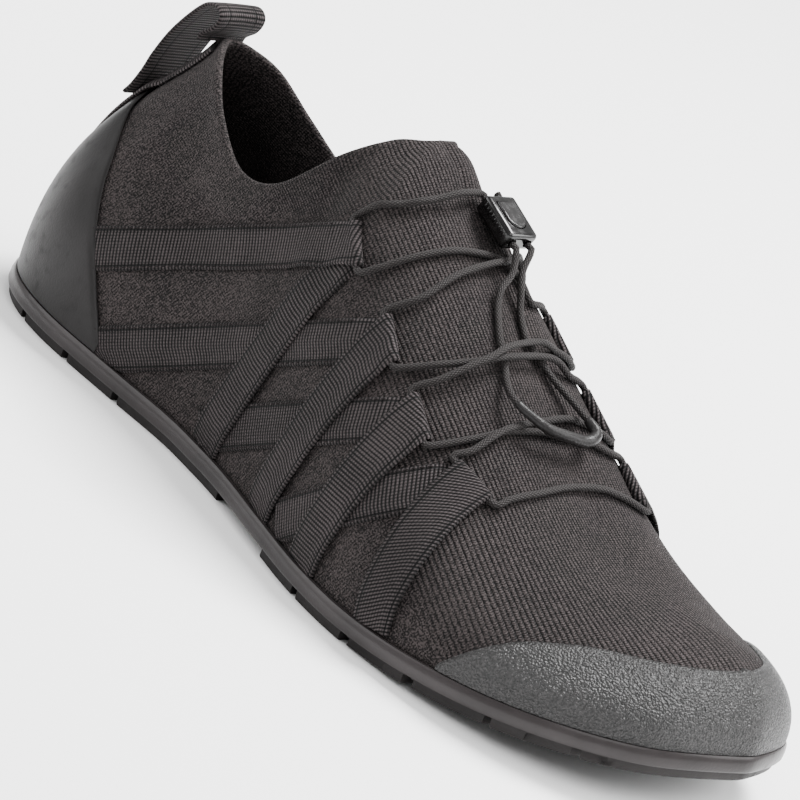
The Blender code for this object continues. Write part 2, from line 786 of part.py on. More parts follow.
def tube(name, points, radii, look, resolution=2):
    """A cord as a round curve with closed ends."""
    curve = bpy.data.curves.new(name, "CURVE")
    curve.dimensions = "3D"
    curve.bevel_depth = 1.0
    curve.bevel_resolution = resolution
    curve.use_fill_caps = True
    spline = curve.splines.new("POLY")
    spline.points.add(len(points) - 1)
    for point, place, radius in zip(spline.points, points, radii):
        point.co = (*(float(a) for a in place), 1.0)
        point.radius = float(radius)
    curve.materials.append(look)
    item = bpy.data.objects.new(name, curve)
    SHOE.objects.link(item)
    return item


def cord(name, points):
    return tube(name, points, [CORD_DIAMETER / 2] * len(points), CORD)


def made_solid(item):
    """The same tube as a mesh, with its end caps joined on."""
    view = bpy.context.evaluated_depsgraph_get()
    mesh = bpy.data.meshes.new_from_object(item.evaluated_get(view))
    work = bmesh.new()
    work.from_mesh(mesh)
    bmesh.ops.remove_doubles(work, verts=work.verts, dist=1e-6)
    bmesh.ops.recalc_face_normals(work, faces=work.faces)
    work.to_mesh(mesh)
    work.free()
    name, place = item.name, item.matrix_world.copy()
    bpy.data.objects.remove(item, do_unlink=True)
    solid = bpy.data.objects.new(name, mesh)
    solid.matrix_world = place
    SHOE.objects.link(solid)
    return solid


def build_laces():
    for name, strands in LACES.items():
        solids = []
        for strand in strands:
            points = [fold_exit(*strand.start)]
            points += [via_point(*via) for via in strand.way]
            points.append(fold_exit(*strand.end))
            line = cord_line(smooth_path(points, PATH_STEPS), LATERAL_CUT, MEDIAL_CUT)
            solids.append(made_solid(cord(name, line)))
        for other in solids[1:]:
            combine(solids[0], other, "UNION")
        solids[0].name = name


def lock_point(forward, across, up):
    """A point in the lock's own frame, which slopes down toward the toes."""
    slope = radians(LOCK_SLOPE)
    x = LOCK_PLACE[0] * LENGTH + forward * cos(slope) + up * sin(slope)
    z = LOCK_PLACE[2] * COLLAR_HEIGHT - forward * sin(slope) + up * cos(slope)
    return np.array([x, LOCK_PLACE[1] * BALL_WIDTH + across, z])


def lock_mouth(end, side):
    """Two points of a cord's middle line outside one of the lock's holes, the nearer one first."""
    across = side * CORD_HOLE_SPACING / 2
    face = LOCK_LENGTH / 2 + 2 * GAP
    return [lock_point(end * (face + far), across, 0.0) for far in (0.0, CORD_DIAMETER)]


def build_cord_ends():
    """The leads into the back of the lock, and the ends out of its front with the grip on them."""
    for name, band, side, way in (
        ("lace_lead_lateral", "band_lateral_1", -1, LEAD_LATERAL),
        ("lace_lead_medial", "band_medial_1", 1, LEAD_MEDIAL),
    ):
        points = [fold_exit(band, 1)] + [via_point(*via) for via in way]
        points += lock_mouth(-1, side)[::-1]
        made_solid(cord(name, cord_line(smooth_path(points, PATH_STEPS), LATERAL_CUT, 0.0)))
    short = lock_mouth(1, -1) + [via_point(*via) for via in END_SHORT]
    grip = [via_point(*via) for via in GRIP]
    long = [via_point(*via) for via in END_LONG[::-1]] + lock_mouth(1, 1)[::-1]
    dense = smooth_path(short + grip + long, PATH_STEPS)
    first = len(short) * PATH_STEPS
    last = first + (len(grip) - 1) * PATH_STEPS
    cord("cord_end_short", cord_line(dense[: first + 1], 0.0, GRIP_GAP))
    cord("cord_end_long", cord_line(dense[last:], GRIP_GAP, 0.0))
    points = cord_line(dense[first : last + 1], 0.0, 0.0)
    shares = np.linspace(0.0, 1.0, len(points))
    radii = GRIP_DIAMETER / 2 * np.interp(shares, [0.0, 0.25, 0.6, 1.0], [0.62, 0.80, 1.0, 0.72])
    tube("cord_end_grip", points, radii, GRIP_PLASTIC, 3)


def lock_matrix(forward, across, up):
    place = Matrix.Translation(Vector(lock_point(forward, across, up)))
    return place @ Matrix.Rotation(radians(LOCK_SLOPE), 4, "Y")


def button_outline(extra):
    """The button's outline, square behind and round in front, with extra all round."""
    half = BUTTON_WIDTH / 2 + extra
    back = -BUTTON_LENGTH / 2 - extra
    middle = BUTTON_LENGTH / 2 - BUTTON_WIDTH / 2
    outline = [(back, -half), (back, half)]
    for i in range(9):
        angle = pi / 2 - pi * i / 8
        outline.append((middle + half * cos(angle), half * sin(angle)))
    return outline


def button_body(name, extra, low, high, look, collection):
    outline = button_outline(extra)
    rings = [[lock_point(x, y, up) for x, y in outline] for up in (low, high)]
    return loft(name, rings, look, collection)


def build_lock():
    """The cord lock: a block with holes for the cords and a button sunk in its top."""
    work = bmesh.new()
    bmesh.ops.create_cube(work, size=1.0)
    bmesh.ops.scale(work, vec=(LOCK_LENGTH, LOCK_WIDTH, LOCK_HEIGHT), verts=work.verts)
    bmesh.ops.bevel(
        work, geom=work.edges[:], offset=LOCK_EDGE, segments=2, profile=0.5, affect="EDGES"
    )
    bmesh.ops.transform(work, matrix=lock_matrix(0.0, 0.0, 0.0), verts=work.verts)
    mesh = bpy.data.meshes.new("lock_housing")
    work.to_mesh(mesh)
    work.free()
    mesh.materials.append(LOCK_PLASTIC)
    housing = bpy.data.objects.new("lock_housing", mesh)
    SHOE.objects.link(housing)
    top = LOCK_HEIGHT / 2
    low = top - BUTTON_SINK
    recess = button_body("recess", GAP, low - GAP, top + 0.001, LOCK_PLASTIC, CUTTERS)
    combine(housing, recess, "DIFFERENCE")
    for end in (-1, 1):
        for side in (-1, 1):
            hole = bmesh.new()
            bmesh.ops.create_cone(
                hole,
                cap_ends=True,
                segments=12,
                radius1=CORD_DIAMETER / 2 + CORD_CLEARANCE,
                radius2=CORD_DIAMETER / 2 + CORD_CLEARANCE,
                depth=2 * CORD_HOLE_DEPTH,
                matrix=lock_matrix(end * LOCK_LENGTH / 2, side * CORD_HOLE_SPACING / 2, 0.0)
                @ Matrix.Rotation(pi / 2, 4, "Y"),
            )
            cut = bpy.data.meshes.new("cord_hole")
            hole.to_mesh(cut)
            hole.free()
            cutter = bpy.data.objects.new("cord_hole", cut)
            CUTTERS.objects.link(cutter)
            combine(housing, cutter, "DIFFERENCE")
    button_body("lock_button", 0.0, low, low + BUTTON_HEIGHT, BUTTON_PLASTIC, SHOE)


def build_pull_loop():
    """The heel's seam strip, and the loop of the same webbing that stands off it and the rim."""
    counter_top = COUNTER_EDGE[0].rise
    over_counter = SEAT_GAP + COUNTER_WALL + GAP
    path = []
    steps = 12
    for i in range(steps + 1):
        v = STRIP_START + (STRIP_END - STRIP_START) * i / steps
        over = float(np.interp(v, [counter_top + 0.015, counter_top + 0.08], [over_counter, SEAT_GAP]))
        path.append((0.0, v, over))
    columns = (1, 0.5, 0, -0.5, -1)
    strip = ribbon("pull_loop", path, PULL_WIDTH, PULL_THICKNESS, WEBBING, columns)
    line = smooth_path([(x * COLLAR_HEIGHT, z * COLLAR_HEIGHT) for x, z in PULL_LOOP], 2)
    rings = []
    for i, point in enumerate(line):
        run = line[min(i + 1, len(line) - 1)] - line[max(i - 1, 0)]
        out = np.array([-run[1], run[0]]) / np.linalg.norm(run) * PULL_THICKNESS / 2
        ring = []
        for turn, side in ((-1, -1), (-1, 1), (1, 1), (1, -1)):
            x, z = point + out * turn
            ring.append([x, side * (PULL_WIDTH / 2 - GAP), z])
        rings.append(ring)
    combine(strip, loft("free_loop", rings, WEBBING), "UNION")


def seat_shoe():
    """Hang every piece on one empty that brings the heel's tread to the origin."""
    bpy.context.view_layer.update()
    seat = bpy.data.objects.new("heel_seat", None)
    seat.location = (-HEEL_SEAT, 0.0, 0.0)
    SHOE.objects.link(seat)
    for item in SHOE.objects:
        if item is not seat:
            item.parent = seat


RUBBER = material("sole_rubber", (0.085, 0.078, 0.074), 0.62)
FOAM = material("insole_foam", (0.020, 0.019, 0.018), 0.9)
KNIT = material("knit", (0.040, 0.036, 0.034), 0.9)
GRAINY_RUBBER = material("toe_rubber", (0.085, 0.080, 0.076), 0.8)
SMOOTH_RUBBER = material("counter_rubber", (0.070, 0.065, 0.063), 0.5)
WEBBING = material("webbing", (0.036, 0.033, 0.031), 0.8)
CORD = material("cord", (0.045, 0.041, 0.038), 0.7)
GRIP_PLASTIC = material("grip_plastic", (0.065, 0.060, 0.058), 0.35)
LOCK_PLASTIC = material("lock_plastic", (0.030, 0.028, 0.027), 0.2)
BUTTON_PLASTIC = material("button_plastic", (0.040, 0.038, 0.037), 0.25)

build_outsole()
build_insole()
build_upper()
build_toe_cap()
build_heel_counter()
for each in BANDS:
    build_band(each)
build_pull_loop()
build_laces()
build_cord_ends()
build_lock()
seat_shoe()
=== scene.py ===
"""Barefoot shoe for the right foot, with its knit, webbing, rubber and cord in full detail.

+X runs from heel to toe, +Y to the inner side of the foot, +Z up. The shoe is drawn from the back
edge of its sole and its points are moved by HEEL_SEAT as they are laid down.
"""

from collections import namedtuple
from functools import lru_cache
from math import cos, floor, pi, radians, sin

import bmesh
import bpy
from mathutils import Matrix, Vector
import numpy as np


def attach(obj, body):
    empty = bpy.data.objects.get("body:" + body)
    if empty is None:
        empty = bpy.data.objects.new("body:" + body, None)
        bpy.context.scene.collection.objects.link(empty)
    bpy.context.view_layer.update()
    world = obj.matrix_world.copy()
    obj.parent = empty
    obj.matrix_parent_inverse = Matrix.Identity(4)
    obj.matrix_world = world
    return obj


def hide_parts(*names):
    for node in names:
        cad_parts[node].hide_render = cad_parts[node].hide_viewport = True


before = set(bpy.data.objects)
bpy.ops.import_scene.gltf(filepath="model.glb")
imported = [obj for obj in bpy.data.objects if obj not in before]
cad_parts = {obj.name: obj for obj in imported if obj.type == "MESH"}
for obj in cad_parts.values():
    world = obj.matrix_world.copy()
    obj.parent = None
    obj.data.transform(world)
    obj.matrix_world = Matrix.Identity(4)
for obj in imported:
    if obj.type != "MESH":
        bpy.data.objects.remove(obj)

bl_info = {
    "name": "Barefoot shoe",
    "version": (1, 0, 0),
    "blender": (4, 5, 0),
    "location": "3D View > Sidebar > Shoe",
    "description": "Dresses a barefoot shoe: knit upper, webbing bands, elastic lace, rubber sole",
    "category": "Object",
}

# Driving sizes of the last and the sole
LENGTH = 0.280
BALL_WIDTH = 0.1045
COLLAR_HEIGHT = 0.1035
TOE_SPRING = 0.0125
SPRING_START = 0.64
HEEL_SEAT = 0.043
GAP = 0.0003

# Sole
LUG_DEPTH = 0.0030
SOLE_WEB = 0.0016
SIDE_BAND_TOP = 0.0078
SIDE_BAND_WALL = 0.0021
LUG_SETBACK = 0.0013
GROOVE_WIDTH = 0.0030
GROOVE_REACH = 0.62
GROOVE_ROOF = LUG_DEPTH - 0.0002
RECESS_DEPTH = 0.0011
INSOLE_THICKNESS = 0.0040

# Upper and its rubber guards, whose edges thin to a share of their wall over a share of the way
# up the last
UPPER_WALL = 0.0022
GUARD_FOOT = 0.004
GUARD_WALL = 0.0013
GUARD_RISE = 0.00075
CAP_EDGE_RISE = 0.0002
GUARD_EDGE = 0.45
GUARD_TAPER = 2.2 / 60

# Webbing
WEB_WIDTH = 0.0120
WEB_THICKNESS = 0.0009
LOW_LEG = 0.0005
HIGH_LEG = 0.0015
SEAM_PLACE = 0.42
STITCH_WIDTH = 0.00045
STITCH_HEIGHT = 0.0004
STITCH_SHARE = 0.72
FOLD_SINK = 0.0009
LEG_TUCK = 0.10
PULL_WIDTH = 0.0175
PULL_THICKNESS = 0.0011

# Runs from a band's fold in which its legs turn square, come up from under the lace or down
# from over it, and cross; the run to its foot in which the front leg tucks in; and the share of
# LENGTH behind which a rear end is tucked under the counter
TURN_RUN = 0.011
SINK_RUN = 0.008
DROP_RUN = 0.010
REAR_CROSSING = 0.016
FRONT_CROSSING = 0.012
TUCK_RUN = 0.008
TUCKED_BEFORE = 0.3

# Lace, its lock with the lock's button and finger ribs, and the grip on its ends
CORD_DIAMETER = 0.0019
CORD_CLEARANCE = 0.0004
LACE_START = 0.0022
PATH_STEPS = 10
GRIP_GAP = 0.0006
LOCK_LENGTH = 0.0145
LOCK_WIDTH = 0.0112
LOCK_HEIGHT = 0.0058
LOCK_EDGE = 0.0013
LOCK_SLOPE = 20.0
CORD_HOLE_SPACING = 0.0060
BUTTON_LENGTH = 0.0088
BUTTON_WIDTH = 0.0066
BUTTON_HEIGHT = 0.0017
BUTTON_SINK = 0.0012
BUTTON_EDGE = 0.0004
FINGER_RIB = (0.0005, 0.0022, 0.0007)
FINGER_RIB_SPACING = 0.00125
GRIP_DIAMETER = 0.0035

# How far up each section its handles reach, and how finely the shoe's surfaces are sampled
HANDLE = 0.58
ROW_STEPS = 12
RISE_STEPS = 56
ROLL_STEPS = 5
ROLL_LIFT = 1.15
GUARD_STEPS = 25
GUARD_RINGS = 120
COUNTER_RINGS = 110
LEG_STEPS = 12
STRIP_STEPS = 25
SOLE_STEPS = 8

# Spacing of the rings of the lace, of its free ends and of the grip, and a cord's sides and the
# share of a quarter turn that its domed ends go round
LACE_STEP = 0.0014
END_STEP = 0.0016
GRIP_STEP = 0.0008
ROUTE_STEPS = 24
CORD_SIDES = 16
DOME_SHARE = 0.96

# Camera: azimuth, elevation and roll in degrees, and where it looks from how far
CAMERA_ANGLES = (38.4, 20.1, 24.3)
CAMERA_AIM = (0.097, 0.0, 0.040)
CAMERA_DISTANCE = 1.479
CAMERA_LENS = 250.8
CAMERA_SHIFT = (-13 / 800, 6 / 800)

# Studio: area lights with their sizes and watts, all aimed at one place, and a white sky
Light = namedtuple("Light", "name place size power")
LIGHTS = [
    Light("key", (0.80, -0.55, 1.15), 1.0, 15.0),
    Light("top", (0.12, 0.55, 1.30), 0.6, 66.0),
    Light("fill", (-0.90, -0.80, 0.70), 1.0, 14.0),
    Light("rim", (0.95, 0.75, 0.75), 0.8, 20.0),
]
LIGHT_AIM = (0.09, 0.0, 0.03)
SKY_STRENGTH = 0.68
FLOOR_WIDTH = 12.0

Section = namedtuple(
    "Section",
    "along lateral medial top_along top_height rim_lateral rim_medial crest crown belly",
)
SECTIONS = [
    Section(0.000, 0.000, 0.000, 0.100, 0.868, 0.000, 0.000, 0.000, 0.60, 0.07),
    Section(0.016, 0.172, 0.163, 0.113, 0.860, 0.055, 0.062, 0.000, 0.50, 0.07),
    Section(0.060, 0.286, 0.282, 0.140, 0.826, 0.115, 0.130, 0.000, 0.35, 0.06),
    Section(0.135, 0.343, 0.316, 0.184, 0.750, 0.170, 0.182, 0.000, 0.15, 0.05),
    Section(0.243, 0.347, 0.287, 0.248, 0.678, 0.212, 0.222, 0.000, 0.08, 0.02),
    Section(0.330, 0.342, 0.268, 0.306, 0.722, 0.228, 0.216, 0.004, 0.18, 0.00),
    Section(0.385, 0.358, 0.268, 0.352, 0.880, 0.190, 0.174, 0.010, 0.42, 0.00),
    Section(0.425, 0.376, 0.277, 0.382, 0.975, 0.125, 0.115, 0.013, 0.72, 0.00),
    Section(0.465, 0.403, 0.297, 0.396, 1.000, 0.000, 0.000, 0.017, 1.00, 0.00),
    Section(0.518, 0.444, 0.331, 0.463, 0.892, 0.000, 0.000, 0.027, 1.00, 0.00),
    Section(0.600, 0.500, 0.403, 0.553, 0.743, 0.000, 0.000, 0.037, 1.00, 0.00),
    Section(0.686, 0.520, 0.465, 0.644, 0.584, 0.000, 0.000, 0.047, 1.00, 0.00),
    Section(0.768, 0.500, 0.495, 0.728, 0.453, 0.000, 0.000, 0.056, 1.00, 0.00),
    Section(0.850, 0.440, 0.485, 0.794, 0.392, 0.000, 0.000, 0.066, 1.00, 0.00),
    Section(0.920, 0.335, 0.420, 0.847, 0.384, 0.000, 0.000, 0.072, 1.00, 0.00),
    Section(0.972, 0.190, 0.313, 0.885, 0.388, 0.000, 0.000, 0.078, 1.00, 0.00),
    Section(0.997, -0.033, 0.143, 0.907, 0.384, 0.000, 0.000, 0.080, 1.00, 0.00),
]
LAST_ROW = len(SECTIONS) - 1
FRONT_ROW = 8
LOOP = 2 * LAST_ROW + 1

# Edges of the rubber guards: places between the sections and shares of the way up them
CAP_EDGE = [
    (12.25, 0.03), (12.50, 0.15), (12.75, 0.26), (13.00, 0.345), (13.50, 0.455), (14.00, 0.515),
    (15.00, 0.595), (16.50, 0.70),
]
COUNTER_EDGE = [
    (0.00, 0.60), (1.00, 0.585), (2.00, 0.515), (2.50, 0.425), (3.00, 0.305), (3.32, 0.20),
    (3.72, 0.03),
]

Band = namedtuple("Band", "name side loop_along loop_height rear_along rear_height foot_along")
BANDS = [
    Band("band_lateral_1", -1, 0.438, 0.755, 0.176, 0.335, 0.390),
    Band("band_lateral_2", -1, 0.535, 0.630, 0.236, 0.125, 0.505),
    Band("band_lateral_3", -1, 0.612, 0.527, 0.374, 0.105, 0.598),
    Band("band_lateral_4", -1, 0.685, 0.463, 0.540, 0.105, 0.708),
    Band("band_medial_1", 1, 0.475, 0.785, 0.176, 0.335, 0.395),
    Band("band_medial_2", 1, 0.560, 0.680, 0.236, 0.125, 0.500),
    Band("band_medial_3", 1, 0.632, 0.575, 0.374, 0.105, 0.590),
    Band("band_medial_4", 1, 0.698, 0.470, 0.540, 0.105, 0.690),
]

# Grooves across the tread and pockets in the arch, as shares of LENGTH and of BALL_WIDTH, and
# recessed stretches of the lug blocks' outer faces, as rows of the last
Groove = namedtuple("Groove", "edge_along point_along")
GROOVES = [
    Groove(0.085, 0.115), Groove(0.165, 0.195), Groove(0.245, 0.275), Groove(0.600, 0.630),
    Groove(0.680, 0.710), Groove(0.760, 0.790), Groove(0.840, 0.870), Groove(0.910, 0.935),
]
ARCH_POCKETS = [
    [(0.330, -0.150), (0.325, -0.285), (0.535, -0.300), (0.520, -0.150)],
    [(0.440, -0.3035), (0.432, -0.600), (0.540, -0.600), (0.5365, -0.3045)],
    [(0.310, 0.120), (0.300, 0.500), (0.530, 0.500), (0.515, 0.120)],
]
SIDE_RECESSES = [(11.0, 11.65), (12.0, 13.05), (13.5, 14.5)]

# Middle line of the pull loop, x and z as shares of COLLAR_HEIGHT, and its strip on the heel
PULL_LOOP = [
    (0.247, 0.852), (0.252, 0.872), (0.264, 0.886), (0.279, 0.902), (0.289, 0.926),
    (0.285, 0.948), (0.258, 0.958), (0.221, 0.941), (0.180, 0.885), (0.142, 0.812),
    (0.117, 0.735), (0.106, 0.680), (0.090, 0.628), (0.075, 0.598),
]
STRIP_START = 0.25
STRIP_END = 0.975

# The lace's strands from fold to fold, by way of places seen from above at a level in diameters
Strand = namedtuple("Strand", "start way end")
LACES = {
    "lace_cross_1": [
        Strand(
            ("band_lateral_1", -1),
            [(0.476, -0.254, 0), (0.495, -0.142, 0), (0.501, -0.050, 0), (0.507, 0.051, 0),
             (0.525, 0.091, 0), (0.545, 0.100, 0)],
            ("band_medial_2", 1),
        ),
        Strand(
            ("band_lateral_2", 1),
            [(0.524, -0.225, 0.3), (0.520, -0.130, 0.6), (0.514, -0.020, 0.7),
             (0.510, 0.065, 0.7), (0.502, 0.120, 0.4)],
            ("band_medial_1", -1),
        ),
    ],
    "lace_cross_2": [
        Strand(
            ("band_lateral_2", -1),
            [(0.584, -0.253, 0.3), (0.595, -0.170, 0.8), (0.597, -0.100, 1.25),
             (0.595, 0.030, 1.25), (0.599, 0.100, 0.8), (0.608, 0.150, 0)],
            ("band_medial_3", 1),
        ),
        Strand(
            ("band_lateral_3", 1),
            [(0.596, -0.267, 0.6), (0.598, -0.200, 1.4), (0.596, -0.140, 1.9),
             (0.590, -0.080, 1.9), (0.583, 0.030, 1.3), (0.585, 0.095, 0.6)],
            ("band_medial_2", -1),
        ),
    ],
    "lace_cross_3": [
        Strand(
            ("band_lateral_3", -1),
            [(0.653, -0.245, 0), (0.656, -0.150, 0), (0.660, -0.030, 0), (0.665, 0.100, 0),
             (0.674, 0.190, 0)],
            ("band_medial_4", 1),
        ),
        Strand(
            ("band_lateral_4", 1),
            [(0.662, -0.265, 0.3), (0.658, -0.200, 0.7), (0.655, -0.140, 0.7),
             (0.649, 0.000, 0), (0.649, 0.107, 0)],
            ("band_medial_3", -1),
        ),
    ],
    "lace_bar": [
        Strand(
            ("band_lateral_4", -1),
            [(0.712, -0.222, 0), (0.713, -0.140, 0), (0.709, 0.000, 0), (0.713, 0.130, 0)],
            ("band_medial_4", -1),
        ),
    ],
}
LEADS = [
    ("lace_lead_lateral", "band_lateral_1", -1,
     [(0.445, -0.161, 0.1), (0.452, -0.096, 0.6), (0.452, -0.035, 1.6)]),
    ("lace_lead_medial", "band_medial_1", 1, [(0.451, 0.148, 0.9)]),
]
END_LONG = [
    (0.525, 0.070, 1.7), (0.541, 0.062, 0.6), (0.553, 0.052, 0), (0.568, 0.038, 0),
    (0.580, 0.035, 0), (0.594, 0.058, 0), (0.612, 0.078, 0.1), (0.630, 0.100, 0.6),
    (0.644, 0.110, 1.2),
]
END_SHORT = [
    (0.524, 0.028, 1.9), (0.536, -0.010, 0.8), (0.548, -0.030, 0.1), (0.562, -0.048, 0),
    (0.580, -0.068, 0), (0.600, -0.080, 0), (0.614, -0.100, 0.3), (0.627, -0.118, 1.2),
]
GRIP = [
    (0.640, -0.120, 2.1), (0.653, -0.094, 2.25), (0.664, -0.058, 2.3), (0.670, -0.005, 2.3),
    (0.673, 0.050, 2.3), (0.673, 0.092, 2.3), (0.667, 0.116, 2.15), (0.656, 0.115, 1.8),
]
LOCK_PLACE = (0.4875, 0.0823, 0.913)

# The knit's ribs run forward and down over the foot, at this slope and round this axis, and from
# these shares of the way up the wall at each row of the last; below them the knit is plain
WALE_SLOPE = 29.0
WALE_AXIS = (0.110, 0.003, 0.058)
WALE_RADIUS = 0.040
RIBBED_FROM = [
    (4.5, 1.1), (5.5, 0.85), (7.0, 0.60), (9.0, 0.45), (11.0, 0.30), (12.5, 0.0), (13.5, -0.3)
]
RIBBED_FADE = 0.14

# Soft troughs and ridges of the worn knit: sides, from and to as shares of LENGTH and of
# COLLAR_HEIGHT, height of the fold (a trough is below zero) and half its width
Crease = namedtuple("Crease", "sides start end rise half")
CREASES = [
    Crease((-1, 1), (0.335, 0.175), (0.405, 0.150), -0.0007, 0.0016),
    Crease((-1,), (0.330, 0.205), (0.395, 0.185), 0.0005, 0.0020),
    Crease((-1, 1), (0.465, 0.150), (0.500, 0.175), -0.0006, 0.0014),
    Crease((-1,), (0.560, 0.120), (0.600, 0.160), -0.0006, 0.0015),
    Crease((-1, 1), (0.205, 0.610), (0.300, 0.610), 0.0006, 0.0030),
    Crease((-1, 1), (0.230, 0.520), (0.360, 0.560), -0.0006, 0.0050),
]

# The full front of the collar: its place as shares of LENGTH, BALL_WIDTH and COLLAR_HEIGHT, how
# far it swells and its radius
SWELL_PLACE = (0.420, 0.035, 0.965)
SWELL_RISE = 0.0019
SWELL_RADIUS = 0.0085


def tint(name, description, default):
    """A colour in the panel."""
    return bpy.props.FloatVectorProperty(
        name=name, description=description, subtype="COLOR", default=default
    )


def pitch(name, description, default, least, most):
    """A length in the panel, in metres."""
    return bpy.props.FloatProperty(
        name=name,
        description=description,
        default=default,
        min=least,
        max=most,
        subtype="DISTANCE",
        unit="LENGTH",
    )


class ShoeColours(bpy.types.PropertyGroup):
    """The shoe's colours."""

    knit: tint("Knit", "Yarn of the upper", (0.0098, 0.0080, 0.0079))
    webbing: tint("Webbing", "Yarn of the bands and the pull loop", (0.0082, 0.0067, 0.0068))
    side_band: tint("Side band", "Rubber of the sole's raised side", (0.0230, 0.0200, 0.0202))
    lugs: tint("Lugs", "Rubber of the tread", (0.0125, 0.0110, 0.0110))
    guards: tint("Guards", "Rubber of the toe cap and the heel counter", (0.0120, 0.0108, 0.0109))
    cord: tint("Cord", "Braid of the lace", (0.0110, 0.0092, 0.0090))
    plastic: tint("Lock", "Plastic of the cord lock and the grip", (0.0035, 0.0032, 0.0032))


class ShoeTextures(bpy.types.PropertyGroup):
    """Sizes of the shoe's repeating textures."""

    knit_row: pitch("Knit row", "From one column of stitches to the next", 0.00115, 0.0005, 0.003)
    web_rib: pitch("Webbing rib", "From one rib to the next", 0.00108, 0.0004, 0.002)
    stitch: pitch("Stitch", "From one stitch of the bands' edges to the next", 0.0021, 0.001, 0.005)


def unit(vector):
    return vector / np.linalg.norm(vector)


def units(vectors):
    """Every vector of an array, made one long."""
    return vectors / np.maximum(np.linalg.norm(vectors, axis=-1, keepdims=True), 1e-12)


def moved(points):
    """Points of the drawing in the place where the finished shoe stands."""
    return np.asarray(points, float) - np.array([HEEL_SEAT, 0.0, 0.0])


def runs_to(points):
    """How far along a line each of its points lies."""
    steps = np.linalg.norm(np.diff(points, axis=0), axis=1)
    return np.concatenate([[0.0], np.cumsum(steps)])


def blend(p0, p1, p2, p3, t):
    """A smooth curve's point between p1 and p2."""
    return 0.5 * (
        2 * p1
        + (p2 - p0) * t
        + (2 * p0 - 5 * p1 + 4 * p2 - p3) * t * t
        + (3 * p1 - p0 - 3 * p2 + p3) * t**3
    )


def finer(rows, steps):
    """The rows, with smooth ones put in so that each gap becomes steps gaps."""
    rows = np.asarray(rows, float)
    wide = np.concatenate([[2 * rows[0] - rows[1]], rows, [2 * rows[-1] - rows[-2]]])
    made = [
        blend(*wide[i : i + 4], j / steps) for i in range(len(rows) - 1) for j in range(steps)
    ]
    return np.array(made + [rows[-1]])


def finer_across(rings, steps):
    """The rings, with smooth points put in across them."""
    return finer(np.asarray(rings).transpose(1, 0, 2), steps).transpose(1, 0, 2)


def eased_step(t):
    """From 0 to 1 as t does, level at both ends."""
    t = np.clip(t, 0.0, 1.0)
    return t * t * (3 - 2 * t)


def edge_corner(k):
    """The sole's edge in plan at a row of the loop heel, lateral side, toe, medial side."""
    k %= LOOP
    row = SECTIONS[min(k, LOOP - k)]
    half = -row.lateral if k <= LAST_ROW else row.medial
    return np.array([row.along * LENGTH, half * BALL_WIDTH])


def sole_edge(c):
    """The sole's edge in plan at loop place c, and the way out from it."""
    k = floor(c)
    corners = [edge_corner(k + j) for j in (-1, 0, 1, 2)]
    here = blend(*corners, c - k)
    run = blend(*corners, c - k + 1e-4) - here
    return here, unit(np.array([run[1], -run[0]]))


def spring(x):
    """How far the tread stands off the ground, where it curls up toward the toe."""
    run = max(0.0, x / LENGTH - SPRING_START) / (1 - SPRING_START)
    return TOE_SPRING * run**1.8


def rim_corner(k, side):
    """The collar's rim at row k, which goes on round the heel and the front on the far side."""
    if k > FRONT_ROW:
        k, side = 2 * FRONT_ROW - k, -side
    elif k < 0:
        k, side = -k, -side
    row = SECTIONS[k]
    half = side * (row.rim_lateral if side < 0 else row.rim_medial)
    place = [row.top_along * LENGTH, (half + row.crest) * BALL_WIDTH]
    return np.array([*place, row.top_height * COLLAR_HEIGHT])


def ridge_corner(k):
    """The ridge over the foot at row k, run straight on past its two ends."""
    if k < FRONT_ROW:
        return 2 * ridge_corner(FRONT_ROW) - ridge_corner(FRONT_ROW + 1)
    if k > LAST_ROW:
        return 2 * ridge_corner(LAST_ROW) - ridge_corner(LAST_ROW - 1)
    row = SECTIONS[k]
    place = [row.top_along, row.crest, row.top_height]
    return np.array(place) * np.array([LENGTH, BALL_WIDTH, COLLAR_HEIGHT])


def top_point(u, side):
    """Where the section at row place u ends."""
    k = min(floor(u), LAST_ROW - 1)
    if u < FRONT_ROW:
        corners = [rim_corner(k + j, side) for j in (-1, 0, 1, 2)]
    else:
        corners = [ridge_corner(k + j) for j in (-1, 0, 1, 2)]
    return blend(*corners, u - k)


def eased(u, column):
    """A column of the table between two rows."""
    k = min(floor(u), LAST_ROW - 1)
    low, high = getattr(SECTIONS[k], column), getattr(SECTIONS[k + 1], column)
    return low + (high - low) * eased_step(u - k)


@lru_cache(maxsize=None)
def section_handles(c):
    """The four handles of the wall's curve at loop place c, from the sole up."""
    c %= LOOP
    side = -1 if c <= LOOP / 2 else 1
    u = min(c, LOOP - c, LAST_ROW)
    edge, out = sole_edge(c)
    foot = edge - out * (SIDE_BAND_WALL + GAP)
    base = np.array([*foot, spring(edge[0]) + SIDE_BAND_TOP])
    top = top_point(u, side)
    rise = top[2] - base[2]
    crown = eased(u, "crown")
    low = base + np.array([*(out * eased(u, "belly") * rise), HANDLE * rise])
    high = top + np.array([*((base - top)[:2] * HANDLE * crown), -HANDLE * rise * (1 - crown)])
    return base, low, high, top


def last_point(c, v):
    """The last's surface: loop place c round the shoe, share v of the way up."""
    base, low, high, top = section_handles(c)
    w = 1 - v
    return w**3 * base + 3 * v * w * w * low + 3 * v * v * w * high + v**3 * top


def last_slopes(c, v):
    """How the surface runs with c and with v."""
    step_c, step_v = 0.02, 0.01
    v = min(max(v, step_v), 1 - step_v)
    along = (last_point(c + step_c, v) - last_point(c - step_c, v)) / (2 * step_c)
    up = (last_point(c, v + step_v) - last_point(c, v - step_v)) / (2 * step_v)
    return along, up


def last_normal(c, v):
    return unit(np.cross(*last_slopes(c, v)))


def off_last(c, v, offset):
    """A point that lies offset outside the last."""
    return last_point(c, v) + last_normal(c, v) * offset


